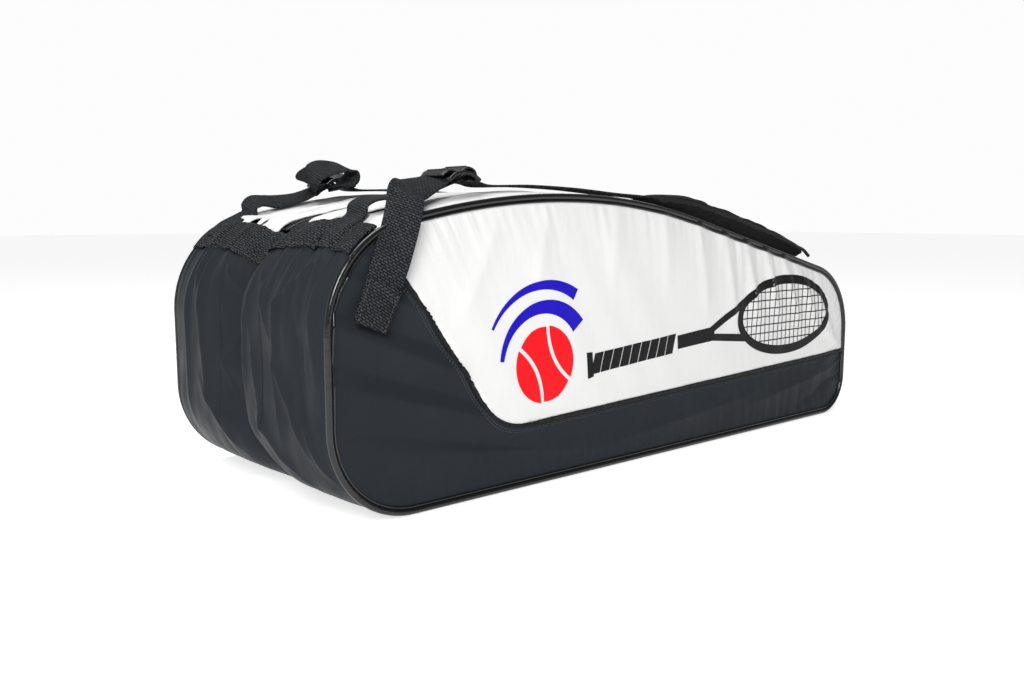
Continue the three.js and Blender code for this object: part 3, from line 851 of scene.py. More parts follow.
def side_rise(side, x, z):
    """How far a side panel stands out beyond its piping at (x, z): a padded bulge 1 - exp(-(d / 38 mm)^1.3)
    of the distance d from the outline, gathers that die away from the piping, long folds, and a groove at the
    seam."""
    seed = 20 if side == "front" else 60
    run, d = OUTLINE.near(x, z)
    _, above = nearest(SEAM_SAMPLES, SEAM_RUN, x, z)
    d = np.maximum(d - PIPING_INSET, 0)
    size = sizes()
    upper = above > 0
    slant = run + 0.25 * d
    strong = 0.35 + 0.65 * smooth(x, 0.02, 0.16)
    rise = size.bulge * (1 - np.exp(-((d / (38 * MM)) ** 1.3)))
    rise += size.pucker * np.exp(-d / (13 * MM)) * smooth(d, 5 * MM, 9 * MM) * ripple(slant, 10 * MM, seed)
    wide = size.pucker * 1.4 * np.exp(-d / (34 * MM)) * smooth(d, 4 * MM, 12 * MM)
    rise += wide * ripple(slant, 21 * MM, seed + 1) * strong
    folds = np.where(
        upper,
        WHITE_FOLD_SHARE * creases(x, z, WHITE_FOLDS, 1.5),
        CHARCOAL_FOLD_SHARE * creases(x, z, CHARCOAL_FOLDS, 1.3),
    )
    rise += folds * size.soft_fold / (1.3 * MM)
    rise += 0.5 * MM * ripple(x + 0.6 * z, 90 * MM, seed + 2) * smooth(d, 0, 0.03)
    seam_gap = np.abs(above)
    gather = np.exp(-seam_gap / (7 * MM)) * ripple(x - z, 11 * MM, seed + 3) * 0.35 * MM
    return rise - SEAM_GROOVE * np.exp(-((seam_gap / (3 * MM)) ** 2)) + gather


def side_point(side, x, z, out=0.0):
    """Points of a side panel's outer face at (x, z), moved out by a little."""
    y = MIDDLE_Y + SIDES[side] * (PANEL_EDGE + 1.5 * MM + side_rise(side, x, z) + out)
    return np.stack([x, y, z], -1)


def side_normal(side):
    return (0, SIDES[side], 0)


def spread_between(edge_a, edge_b, steps):
    """A ruled grid from one edge curve to another, with the steps closer together near the second edge."""
    v = (1 - (1 - np.linspace(0, 1, steps)) ** 1.25)[None, :, None]
    return edge_a[:, None] * (1 - v) + edge_b[:, None] * v


def panel_edges(upper, columns):
    """The two edges of a side panel's upper or lower part: the seam and its share of the outline."""
    top_run = OUTLINE.run_where(*SEAM_TOP)
    nose_run = OUTLINE.run_where(LENGTH / 2, SEAM_NOSE[1])
    if upper:
        knots = (top_run, OUTLINE.top(-0.245), nose_run)
    else:
        knots = (top_run - OUTLINE.total, OUTLINE.run_where(-0.330, 0.0), nose_run)
    knee = 0.30
    u = np.linspace(0, 1, columns)
    seam = resample(SEAM_POINTS, columns)
    outline, _ = OUTLINE.at(np.interp(u, (0, knee, 1), knots), -PIPING_INSET)
    seam[0], seam[-1] = outline[0], outline[-1]
    return seam, outline


def declare_sheet(obj):
    return obj


def finished(obj, body, slot, *nodes):
    """Rides on its body and stands for its nodes; the slot is not used."""
    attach(obj, body)
    if nodes:
        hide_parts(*nodes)
    return obj


def bending(obj, bodies, start, end, slot, *nodes):
    """Bakes its placement into its mesh and stands for its nodes."""
    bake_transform(obj)
    if nodes:
        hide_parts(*nodes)
    return obj


# ---------------------------------------------------------------- sides


def make_side_panels():
    """Four padded panels: a ruled grid in the length-height plane, pushed out by side_rise."""
    columns, rows = 330, 84
    for side in SIDES:
        for upper in (True, False):
            seam, outline = panel_edges(upper, columns)
            flat = spread_between(seam, outline, rows)
            points = side_point(side, flat[..., 0], flat[..., 1])
            fabric = finish_of(white_fabric if upper else charcoal_fabric)
            label = "white" if upper else "charcoal"
            parts, materials = [sheets(points, flat)], [fabric, finish_of(lining_fabric)]
            panel = build(f"{side}_{label}_panel", parts, materials, side_normal(side))
            thicken(panel, 4 * MM, lining=True)
            node = f"{side}_side_{'upper' if upper else 'lower'}"
            finished(panel, f"{side}_cover", f"{label}_fabric", node)


def ring_path(side, inset, out=0.0, on_panel=False, count=1100):
    """A closed line round a side, inset from the outline, at the piping or lying on the panel."""
    flat, normal = OUTLINE.at(np.linspace(0, OUTLINE.total, count), -inset)
    if on_panel:
        return side_point(side, flat[:, 0], flat[:, 1], out), normal
    y = MIDDLE_Y + SIDES[side] * (HALF_WIDTH - 3 * MM + out)
    return np.stack([flat[:, 0], np.full(count, y), flat[:, 1]], -1), normal


def make_side_trims():
    """Piping, the bound welt inside it, and the seam binding with its topstitching."""
    size = sizes()
    for side, sign in SIDES.items():
        path, normal = ring_path(side, PIPING_INSET + 0.2 * MM)
        run = np.linspace(0, OUTLINE.total, len(path))
        gathers = 1 + 0.02 * ripple(run, 9 * MM, 31) + 0.01 * ripple(run, 4.5 * MM, 33)
        gathers[-1] = gathers[0]
        cord = sweep(path, (0, sign, 0), circle(size.piping_radius - 0.2 * MM, 14), gathers, loop=True)
        lip, _ = ring_path(side, 7.6 * MM, 0.7 * MM, on_panel=True)
        welt = sweep(lip, (0, 1, 0), circle(1.15 * MM, 8), gathers, loop=True)
        flange, lean = ring_path(side, 5.4 * MM, 0.1 * MM, on_panel=True)
        sloped = np.stack([lean[:, 0], np.zeros(len(lean)), lean[:, 1]], -1)
        tape = sweep(flange, sloped, stadium(5.0 * MM, 1.1 * MM), loop=True, material=1)
        piece = build(
            f"{side}_piping", [cord, welt, tape], [finish_of(piping_cover), finish_of(binding_tape)]
        )
        finished(piece, f"{side}_cover", "black_piping", f"{side}_side_piping")

        seam, normal = resample(SEAM_POINTS, 420), resample(SEAM_NORMALS, 420)
        across = np.stack([normal[:, 0], np.zeros(len(normal)), normal[:, 1]], -1)
        strip = sweep(side_point(side, seam[:, 0], seam[:, 1], 1.0 * MM), across, stadium(4.2 * MM, 1.4 * MM))
        rows = []
        for offset in (4.6 * MM, 6.8 * MM):
            row = seam + normal * offset
            path = side_point(side, row[6:-4, 0], row[6:-4, 1], 0.12 * MM)
            rows.append(stitch_line(path, side_normal(side), 3.6 * MM, size.stitch, 0.3 * MM, material=1))
        piece = build(f"{side}_seam_binding_tape", [strip, *rows], [finish_of(binding_tape), dark_thread()])
        finished(piece, f"{side}_cover", "black_binding", f"{side}_seam_binding")


# ---------------------------------------------------------------- prints

PRINT_LIFT = 0.22 * MM  # how far the film lies above the fabric
PRINT_MIRROR = 0.092  # twice the x that the back side's print is mirrored about
BACK_PRINT_RAISE = 5 * MM
PRINT_TILT = np.array([[math.cos(0.5), -math.sin(0.5)], [math.sin(0.5), math.cos(0.5)]])
STRING_WIDTH = 1.3 * MM


def printed(side, flat, material):
    """A patch of print that lies on a side panel. flat holds (x, z), mirrored and raised on the back, where
    it then reads as on the front."""
    x, z = flat[..., 0], flat[..., 1]
    if side == "back":
        x, z = PRINT_MIRROR - x, z + BACK_PRINT_RAISE
    return sheets(side_point(side, x, z, PRINT_LIFT), np.stack([x, z], -1), material)


def bar(start, end, width_start, width_end, columns=40, rows=5):
    """A straight tapered stroke: the line from start to end, widened across it."""
    start, end = np.array(start, float), np.array(end, float)
    u = np.linspace(0, 1, columns)[:, None, None]
    v = np.linspace(-0.5, 0.5, rows)[None, :, None]
    along = unit(end - start)
    across = np.array([-along[1], along[0]])
    return start + (end - start) * u + across * v * (width_start + (width_end - width_start) * u)


def grip_turn(x, z, length, height, slant):
    """One turn of grip tape: a parallelogram whose upper edge leans back."""
    u, v = np.linspace(0, 1, 12)[:, None], np.linspace(-0.5, 0.5, 7)[None, :]
    return np.stack([x - length * u + slant * v, z + height * v - 0.001 * u], -1)


def arc_band(centre, radii, angles, width_start, width_end, columns=90, rows=5):
    """A stroke along an ellipse's arc, its width changing evenly from one end to the other."""
    a = np.radians(np.linspace(*angles, columns))[:, None]
    share = np.linspace(0, 1, columns)[:, None]
    v = np.linspace(-0.5, 0.5, rows)[None, :]
    wide = (width_start + (width_end - width_start) * share) * v
    return np.stack(
        [centre[0] + (radii[0] + wide) * np.cos(a), centre[1] + (radii[1] + wide) * np.sin(a)], -1
    )


def racket_print(side):
    """A racket in profile: an oval hoop with strings, a forked throat, a shaft and a taped grip."""
    middle = (0.247, 0.139)
    reach, height, hoop = 0.094, 0.043, 0.0110
    parts = [arc_band(middle, (reach, height), (0, 360), hoop, hoop, 150)]
    inner = np.array((reach - hoop / 2, height - hoop / 2))
    for share in np.linspace(-0.9, 0.9, 19):
        tall = inner[1] * math.sqrt(1 - share**2)
        x = middle[0] + share * inner[0]
        parts.append(bar((x, middle[1] - tall), (x, middle[1] + tall), STRING_WIDTH, STRING_WIDTH, 24, 2))
    for share in np.linspace(-0.78, 0.78, 7):
        wide = inner[0] * math.sqrt(1 - share**2)
        z = middle[1] + share * inner[1]
        parts.append(bar((middle[0] - wide, z), (middle[0] + wide, z), STRING_WIDTH, STRING_WIDTH, 60, 2))
    fork = 0.098
    for sign in (-1, 1):
        shoulder = (middle[0] - reach * 0.86, middle[1] + sign * height * 0.52)
        parts.append(bar(shoulder, (fork, 0.127 + sign * 4 * MM), 9 * MM, 8 * MM))
    parts.append(bar((fork + 0.006, 0.127), (0.040, 0.122), 16 * MM, 15 * MM))
    for k in range(9):
        parts.append(grip_turn(0.034 - 0.0142 * k, 0.1215 - 0.0011 * k, 0.0132, 21 * MM, 6 * MM))
    parts.append(bar((-0.0925, 0.1114), (-0.1010, 0.1107), 25 * MM, 27 * MM, 8, 6))
    return [printed(side, p, 0) for p in parts]


def ball_print(side):
    """A ball in flight: a red disc whose two curved seams are left open, under two tapered blue arcs."""
    centre, radius = np.array((-0.158, 0.118)), 0.0375
    u = np.linspace(-1, 1, 61)[:, None]
    half = np.sqrt(np.maximum(1 - u**2, 0))
    seam = np.minimum(0.34 + 0.30 * u**2, half)
    line = 0.055
    red = []
    for low, high in ((-half, -seam - line), (-seam + line, seam - line), (seam + line, half)):
        low, high = np.minimum(low, high), np.maximum(low, high)
        low, high = np.clip(low, -half, half), np.clip(high, -half, half)
        v = np.linspace(0, 1, 9)[None, :]
        flat = np.stack([low + (high - low) * v, np.broadcast_to(u, (61, 9))], -1)
        red.append(flat @ PRINT_TILT.T * radius + centre)
    blue = [
        arc_band(centre, (0.0555, 0.0555), (38, 172), 18 * MM, 5 * MM),
        arc_band(centre, (0.0765, 0.0765), (58, 150), 12 * MM, 3 * MM),
    ]
    return [printed(side, p, 0) for p in blue], [printed(side, p, 0) for p in red]


def make_side_prints():
    """A black racket and a blue and red ball on each white panel, as thin printed films."""
    for side in SIDES:
        blue, red = ball_print(side)
        for name, parts, ink in (
            ("racket", racket_print(side), (print_ink, "black print", tuple(colours().ink_black))),
            ("arc", blue, (print_ink, "blue print", tuple(colours().ink_blue))),
            ("ball", red, (print_ink, "red print", tuple(colours().ink_red))),
        ):
            film = build(f"{side}_{name}_print", parts, [finish_of(*ink)], side_normal(side))
            finished(film, f"{side}_cover", "white_fabric")


# ---------------------------------------------------------------- ends, base and dividers


def make_end_walls():
    """Gathered end walls and flat bases: grids over run and width, pushed out by shell_rise."""
    fabric = [finish_of(charcoal_fabric), finish_of(lining_fabric)]
    for name, (low, high) in COMPARTMENTS.items():
        first, second = COMPARTMENT_BODIES[name]
        y = np.linspace(low, high, 52)[None, :]
        start, end = (low, high) if name == "back" else (high, low)
        walls = {
            "tall": (BAND_LOW - 20 * MM, FOOT_END, 170, (-1, 0, 0)),
            "nose": (BASE_RUN[1], NOSE_END, 100, (1, 0, 0)),
        }
        for place, (from_run, to_run, steps, outward) in walls.items():
            run = np.linspace(from_run, to_run, steps)[:, None]
            rise = shell_rise(*np.broadcast_arrays(run, y))
            points = OUTLINE.wall(run + 0 * y, y, rise - WALL_INSET)
            wall = build(f"{name}_{place}_wall", [sheets(points)], fabric, outward)
            thicken(wall, 1.6 * MM, lining=True)
            declare_sheet(wall)
            node = f"{name}_{place}_gusset"
            bending(wall, (first, second), (0, start, 0.1), (0, end, 0.1), "charcoal_fabric", node)
        run = np.linspace(*BASE_RUN, 60)[:, None]
        points = OUTLINE.wall(run + 0 * y, y, -0.6 * MM + 0 * run * y)
        base = build(f"{name}_base_panel", [sheets(points)], fabric, (0, 0, -1))
        thicken(base, 2 * MM, lining=True)
        declare_sheet(base)
        if name == "middle":
            bending(base, (first, second), (0, MIDDLE_Y, 0), (0, low, 0), "charcoal_fabric", "middle_base")
        else:
            finished(base, first, "charcoal_fabric", f"{name}_base")


def make_dividers():
    """Foam-backed dividers: a polar grid from a middle point out to the outline, drawn in all round."""
    for name, y, body in (("front", FRONT_DIVIDER_Y, "front_unit"), ("back", BACK_DIVIDER_Y, "root")):
        run = np.linspace(0, OUTLINE.total, 241)[:, None]
        rim, _ = OUTLINE.at(run, -7 * MM)
        share = np.linspace(0, 1, 26)[None, :, None]
        middle = np.array([-0.02, 0.135])
        flat = middle + (rim - middle) * share
        wave = 1.2 * MM * ripple(flat[..., 0] + 0.5 * flat[..., 1], 0.12, 71)
        wave = wave * np.sin(math.pi * share[..., 0])
        points = np.stack([flat[..., 0], y + 1.0 * MM + wave, flat[..., 1]], -1)
        sheet = build(f"{name}_divider_sheet", [sheets(points, flat)], [finish_of(lining_fabric)], (0, 1, 0))
        thicken(sheet, 2.4 * MM)
        finished(sheet, body, "divider_lining", f"{name}_divider")


BAND_STRIP = 36 * MM  # width of the band webbing itself


def band_dip(y):
    """How far the end band sags along the outline: most where the walls fold in, less on the back side."""
    fold = 10 * MM * np.exp(-(((y + 0.005) / np.where(y < -0.005, 22 * MM, 46 * MM)) ** 2))
    return fold + 5 * MM * smooth(y, -0.02, 0.03) + 1.0 * MM * ripple(y, 40 * MM, 12)


def make_end_bands():
    """Ribbed webbing sewn over the top of the end walls, following their lobes, with stitches by each
    edge."""
    for name, (low, high) in COMPARTMENTS.items():
        first, second = COMPARTMENT_BODIES[name]
        start, end = (low, high) if name == "back" else (high, low)
        y = np.linspace(low, high, 60)[None, :]
        share = np.linspace(0, 1, 26)[:, None]
        top = BAND_TOP + 7 * MM + band_dip(y)
        run = top + share * BAND_STRIP
        swell = 0.2 * MM * ripple(y + 0.2 * run, 16 * MM, 14) + 0.8 * MM * np.sin(math.pi * share) ** 0.5
        rise = shell_rise(run, y + 0 * run) + 1.4 * MM + swell
        points = OUTLINE.wall(run, y, rise)
        uv = np.stack([y + 0 * run, share * BAND_STRIP + 0 * y], -1)
        rows = []
        for edge in (0.07, 0.93):
            at = top[0] + edge * BAND_STRIP
            path = OUTLINE.wall(at, y[0], shell_rise(at, y[0]) + 2.3 * MM)
            rows.append(stitch_line(path, (-0.8, 0, 0.6), 3.8 * MM, sizes().stitch, 0.3 * MM))
        webbing = finish_of(woven_webbing, "band webbing", 0.03)
        band = build(f"{name}_band_webbing", [sheets(points, uv)], [webbing], (-1, 0, 0.6))
        thicken(band, 1.8 * MM)
        declare_sheet(band)
        bending(band, (first, second), (0, start, 0.1), (0, end, 0.1), "black_webbing", f"{name}_end_band")
        seam = build(f"{name}_band_stitches", rows, [dark_thread()])
        bending(seam, (first, second), (0, start, 0.1), (0, end, 0.1), "black_webbing")


STRIPS = {
    "front_top_strip_a": "front_cover",
    "front_top_strip_b": "front_unit",
    "middle_top_strip_a": "front_unit",
    "middle_top_strip_b": "root",
    "back_top_strip_a": "root",
    "back_top_strip_b": "back_cover",
}


def make_top_strips():
    """White strips between the zips: they puff up between their seams, most by the tall end, pucker along
    both edges, and end 15 mm under the end band's upper edge."""
    share = np.linspace(0, 1, 300)[:, None]
    for k, (node, body) in enumerate(STRIPS.items()):
        lo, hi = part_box(node)
        low = lo.y - (0.4 * MM if k else 1.8 * MM)
        high = hi.y + (0.4 * MM if k < 5 else 1.8 * MM)
        y = np.linspace(low, high, 34)[None, :]
        end = BAND_TOP + 15 * MM + band_dip(y)
        run = NOSE_END + share * (end - NOSE_END)
        t = (y - low) / (high - low)
        edge = np.minimum(y - low, high - y)
        free = smooth(run, BAND_TOP - 0.28, BAND_TOP - 0.14)
        sag = (0.6 * MM + 3.2 * MM * free) * (4 * t * (1 - t)) ** 0.6
        puckers = 0.35 * MM * np.exp(-edge / (8 * MM)) * ripple(run + 0.3 * y, 26 * MM, 80 + k)
        long_folds = creases(
            run - BAND_TOP + 0 * y,
            (y - (low + high) / 2) + 0 * run,
            (
                (-0.045, 0.006, 14, 0.055, 0.0028, -1.5 * MM),
                (-0.070, -0.006, -9, 0.060, 0.0030, 1.3 * MM),
                (-0.130, 0.002, 8, 0.070, 0.0040, 1.2 * MM),
                (-0.250, -0.004, -5, 0.090, 0.0050, -1.1 * MM),
                (-0.400, 0.004, 6, 0.090, 0.0050, 1.0 * MM),
                (-0.560, 0.000, -6, 0.080, 0.0050, 1.0 * MM),
            ),
        )
        rise = shell_rise(run + 0 * y, y + 0 * run) * smooth(run, BAND_TOP - 0.03, BAND_TOP)
        shown = 1 - smooth(run - band_dip(y), BAND_TOP - 8 * MM, BAND_TOP + 8 * MM)
        puffed = (sag + puckers + long_folds * smooth(edge, 0, 0.006)) * shown
        rise = rise + puffed - WALL_INSET - 1.2 * MM * (1 - shown)
        strip = build(
            f"{node}_fabric",
            [sheets(OUTLINE.wall(run + 0 * y, y, rise))],
            [finish_of(white_fabric), finish_of(lining_fabric)],
            (0, 0, 1),
        )
        thicken(strip, 1.4 * MM, lining=True)
        declare_sheet(strip)
        finished(strip, body, "white_fabric", node)


# ---------------------------------------------------------------- zips

TAPES = {
    "front_zip_tape_a": ("front_cover", -1),
    "front_zip_tape_b": ("front_unit", 1),
    "middle_zip_tape_a": ("front_unit", -1),
    "middle_zip_tape_b": ("root", 1),
    "back_zip_tape_a": ("root", -1),
    "back_zip_tape_b": ("back_cover", 1),
}


def make_zip_tapes():
    """Half of a zip each: a flat tape swept along the outline, with coil teeth on the edge by the other
    half."""
    run = np.linspace(NOSE_END + 2 * MM, BAND_TOP + 12 * MM, 220)
    for node, (body, sign) in TAPES.items():
        lo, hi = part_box(node)
        middle, width = (lo.y + hi.y) / 2, hi.y - lo.y
        tape = sweep(OUTLINE.wall(run, middle, -3.0 * MM), (0, 1, 0), stadium(width, 1.1 * MM))
        inner = hi.y if sign < 0 else lo.y
        spots = np.arange(run[0], run[-1], 2.8 * MM) + (0 if sign < 0 else 1.4 * MM)
        centres = OUTLINE.wall(spots, inner + sign * 0.7 * MM, -2.0 * MM)
        _, normal = OUTLINE.at(spots)
        up = np.stack([normal[:, 0], 0 * spots, normal[:, 1]], -1)
        along = np.stack([-normal[:, 1], 0 * spots, normal[:, 0]], -1)
        teeth = beads(centres, (0, 1, 0), along, up, (3.4 * MM, 1.9 * MM, 1.7 * MM), material=1)
        piece = build(f"{node}_and_teeth", [tape, teeth], [finish_of(zip_tape), finish_of(zip_teeth)])
        finished(piece, body, "zip_tape", node)


def axes_on_top(x):
    """The outline's frame at x on the top edge: along +X, across, and outwards."""
    _, normal = OUTLINE.at(OUTLINE.top(x))
    up = np.array([normal[0], 0, normal[1]])
    return np.array([[up[2], 0, -up[0]], [0, 1, 0], up])


def make_zip_sliders():
    """Sliders of two rounded plates with a bridge, and pulls of a wire ring and a ridged tab."""
    for compartment in COMPARTMENTS:
        for place in ("tall", "nose"):
            name = f"{compartment}_zip_{place}"
            lo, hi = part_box(f"{name}_slider")
            centre = np.array((lo + hi) / 2)
            axes = axes_on_top(centre[0])
            spot = lambda a, b, c: centre + np.array([a, b, c]) * MM @ axes
            out = -1 if place == "tall" else 1
            bridge = ((-5.5, 0.6), (-4.5, 3.6), (0, 4.6), (4.5, 3.6), (5.5, 0.6))
            arch = curve_through([spot(a, 0, c) for a, c in bridge], 18)
            parts = [
                block(spot(0, 0, -2.0), axes, np.array([10, 6, 1.1]) * MM, 0.3),
                block(spot(0, 0, 0.9), axes, np.array([9, 5, 1.2]) * MM, 0.35),
                block(spot(-out * 8, 0, -0.5), axes, np.array([1.6, 1.2, 1.6]) * MM, 0.5),
                sweep(arch, axes[1], stadium(3.4 * MM, 1.3 * MM)),
            ]
            slider = build(f"{name}_slider_body", parts, [finish_of(zip_metal)])
            body = f"{compartment}_{place}_slider"
            finished(slider, body, "zip_metal", f"{name}_slider")

            lo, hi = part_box(f"{name}_pull")
            middle = np.array((lo + hi) / 2)
            axes = axes_on_top(middle[0])
            at = lambda a, b, c: middle + np.array([a * out, b, c]) * MM @ axes
            a = np.linspace(0, 2 * math.pi, 33)
            ring = np.array([at(-11.2 + 4.0 * math.cos(t), 3.6 * math.sin(t), 0) for t in a])
            parts = [
                sweep(ring, axes[2], circle(0.75 * MM, 8), loop=True),
                block(at(4.2, 0, 0), axes, np.array([10.6, 4.0, 1.0]) * MM, 0.32, material=1),
            ]
            for k in range(5):
                parts.append(
                    block(at(4 + 2.4 * k, 0, 0), axes, np.array([0.55, 3.3, 1.35]) * MM, 0.6, 7, material=1)
                )
            pull = build(f"{name}_pull_tab", parts, [finish_of(zip_metal), finish_of(lock_plastic)])
            finished(pull, f"{compartment}_{place}_pull", "zip_metal", f"{name}_pull")


# ---------------------------------------------------------------- shoulder straps


def strap_middle(side):
    lo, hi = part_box(f"{side}_strap_webbing")
    return (lo.y + hi.y) / 2


def strap_piece(name, path, across, width, thickness, extra=()):
    """Flat webbing along a smooth path through given points, its width turning evenly between the given
    directions."""
    line = curve_through(path, 90)
    turn = curve_through(across, 90)
    body = sweep(line, turn, stadium(width, thickness))
    return build(name, [body, *extra], [finish_of(woven_webbing), dark_thread()])


def lock_middle(side):
    lo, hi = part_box(f"{side}_ladder_lock")
    return np.array((lo + hi) / 2)


def make_strap_webbing():
    """The strap's lower webbing: stitched to the end band, standing up from it and arching over to the
    lock."""
    size = sizes()
    for side in SIDES:
        y, lock = strap_middle(side), lock_middle(side)
        drop = 0 if side == "front" else 2 * MM
        stitched = ((0.034, 0.0060), (0.018, 0.0064))
        on_band = [OUTLINE.wall(np.array(BAND_TOP + d), y, np.array(out)) for d, out in stitched]
        ahead = 0 if side == "front" else 9 * MM
        path = [
            *[p.tolist() for p in on_band],
            (-0.3385 + ahead, y, 0.2600),
            (-0.3350 + ahead, y, 0.2690),
            (-0.3220 + ahead / 2, y, 0.2745),
            (-0.2990, y, 0.2760 - drop),
            (-0.2700, y, 0.2810 - drop),
            (lock[0] - 0.017, y, lock[2] - 0.0045),
            (lock[0] - 0.004, y, lock[2] - 0.0015),
        ]
        roll = 0.10 if side == "front" else 0.42
        across = [
            (0, 1, 0),
            (0, 1, 0),
            (0, 1, 0),
            (0, 1, roll),
            (0, 1, roll),
            (0, 1, roll / 2),
            (0, 1, 0),
            (0, 1, 0)
        ]
        feed = strap_piece(f"{side}_lower_webbing", path, across, size.webbing_width, size.webbing_width / 16)
        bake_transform(feed)
        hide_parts(f"{side}_strap_webbing")


def tail_end_fold(path, across, width, thickness):
    """The hemmed end of a tail: a second layer and a box of stitches."""
    line, turn = curve_through(path, 90)[-17:], unit(curve_through(across, 90)[-17:])
    face = unit(np.cross(unit(np.gradient(line, axis=0)), turn))
    layer = sweep(line + face * thickness * 0.95, turn, stadium(width * 1.01, thickness))
    lift = face * thickness * 1.5
    rows = [
        stitch_line(
            line[2:-1] + lift[2:-1] + turn[2:-1] * width * s, face[2:-1], 3.4 * MM, 2.6 * MM, material=1
        )
        for s in (-0.42, 0.42)
    ]
    for k in (2, -2):
        spots = line[k] + lift[k] + turn[k] * width * np.linspace(-0.42, 0.42, 12)[:, None]
        rows.append(stitch_line(spots, face[k], 3.4 * MM, 2.6 * MM, material=1))
    return [layer, *rows]


def free_end(side, path, across):
    """A strap's free end along its path, with its hemmed tip."""
    width, y = sizes().webbing_width, strap_middle(side)
    fold = tail_end_fold(path, across, width, width / 16)
    tail = strap_piece(f"{side}_strap_free_end", path, across, width, width / 16, fold)
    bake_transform(tail)
    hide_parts(f"{side}_strap_tail")


def make_strap_tails():
    """The free ends past the locks: the front one twists, folds over and hangs down the side, and the back
    one loops beside its lock."""
    y, lock = strap_middle("front"), lock_middle("front")
    path = [
        (lock[0] - 0.002, y, lock[2] + 0.0035),
        (lock[0] - 0.020, y - 0.002, lock[2] + 0.0010),
        (lock[0] - 0.042, y - 0.010, lock[2] - 0.0050),
        (-0.2920, -0.1300, 0.2830),
        (-0.3090, -0.1430, 0.2805),
        (-0.3180, -0.1530, 0.2670),
        (-0.3270, -0.1570, 0.2450),
        (-0.3400, -0.1585, 0.2120),
        (-0.3580, -0.1580, 0.1690),
    ]
    across = [
        (0, -1, 0),
        (0, -1, -0.15),
        (0.05, -0.90, -0.42),
        (0.25, -0.78, -0.57),
        (0.66, -0.42, -0.60),
        (0.87, -0.12, -0.46),
        (0.91, -0.02, -0.41),
        (0.91, 0, -0.41),
        (0.91, 0, -0.41),
    ]
    free_end("front", path, across)

    y, lock = strap_middle("back"), lock_middle("back")
    path = [
        (lock[0] - 0.002, y, lock[2] + 0.0035),
        (lock[0] - 0.018, y - 0.003, lock[2] + 0.0030),
        (lock[0] - 0.036, y - 0.014, lock[2] + 0.0000),
        (lock[0] - 0.043, y - 0.030, lock[2] + 0.0020),
        (lock[0] - 0.044, y - 0.038, lock[2] + 0.0090),
        (lock[0] - 0.034, y - 0.042, lock[2] + 0.0150),
        (lock[0] - 0.015, y - 0.044, lock[2] + 0.0165),
        (lock[0] - 0.004, y - 0.045, lock[2] + 0.0125),
        (lock[0] - 0.006, y - 0.046, lock[2] + 0.0010),
        (lock[0] - 0.023, y - 0.046, lock[2] - 0.0070),
    ]
    across = [
        (0, -1, 0),
        (0, -1, 0),
        (0, -1, -0.1),
        (0, -0.95, -0.3),
        (0, -0.85, -0.5),
        (0, -0.8, -0.6),
        (0, -0.8, -0.6),
        (0, -0.9, -0.4),
        (0, -1, 0),
        (0, -1, 0.1),
    ]
    free_end("back", path, across)


def rod_across(centre, ahead, up, half, count):
    """Points of a straight rod across a lock, ahead of and above its middle, in millimetres."""
    x, y, z = centre
    return np.stack(
        [
            np.full(count, x + ahead * MM),
            y + np.linspace(-half, half, count) * MM,
            np.full(count, z + up * MM)
        ], -1
    )


LOCK_SHIFT = {"front": -0.006, "back": 0.0}


def make_ladder_locks():
    """Moulded ladder locks: two arched rails, three bars for the webbing and a ridged, up-curled thumb
    plate."""
    for side in SIDES:
        c = lock_middle(side) + np.array((LOCK_SHIFT[side], 0, 0))
        at = lambda a, b, h: (c[0] + a * MM, c[1] + b * MM, c[2] + h * MM)
        parts = []
        for b in (-20, 20):
            rail = curve_through(
                [at(-18, b, -2), at(-11, b, 3.2), at(-2, b, 5.0), at(8, b, 4.0), at(17, b, -1.5)], 30
            )
            parts.append(sweep(rail, (0, 1, 0), stadium(4.4 * MM, 3.8 * MM, 6)))
        for a, h, r in ((-17, -1.5, 2.3), (-3, 4.2, 2.0), (16, -1.0, 2.4)):
            parts.append(sweep(rod_across(c, a, h, 20, 9), (1, 0, 0), circle(r * MM, 12)))
        profile = ((17, 0.0), (13, 7.0), (5, 9.6), (-2, 6.2), (-8, 5.4), (-16, 6.6), (-23, 1.6))
        plate = curve_through([at(a, 0, h) for a, h in profile], 44)
        narrow = 1 - 0.14 * np.linspace(-1, 1, 44) ** 4
        parts.append(sweep(plate, (0, 1, 0), stadium(38 * MM, 2.2 * MM, 6), narrow))
        for a, h in ((12.0, 8.6), (8.5, 10.1), (5.0, 10.6), (-9, 6.5), (-12.5, 7.0), (-16, 7.6)):
            parts.append(sweep(rod_across(c, a, h, 15, 11), (1, 0, 0), circle(1.0 * MM, 8)))
        lock = build(f"{side}_strap_buckle", parts, [finish_of(lock_plastic)])
        finished(lock, f"{side}_lock", "lock_plastic", f"{side}_ladder_lock")


def pad_lines(side):
    """The pad's underside and top as runs and heights above the outline: a low arch, thinning to the
    tongue."""
    lo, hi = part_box(f"{side}_strap_pad")
    start, end = OUTLINE.top(hi.x - 4 * MM), OUTLINE.top(0.020)
    u = np.linspace(0, 1, 60)
    run = start + (end - start) * u
    under = 2.5 * MM + 8.5 * MM * np.sin(math.pi * u**0.8) ** 0.6
    thick = 16 * MM * (1 - 0.45 * smooth(u, 0.80, 1.0)) * (1 - 0.25 * (1 - smooth(u, 0, 0.06)))
    thick = thick + 0.9 * MM * ripple(run, 42 * MM, 90)
    return run, under, thick, (lo.y + hi.y) / 2, (hi.y - lo.y) / 2


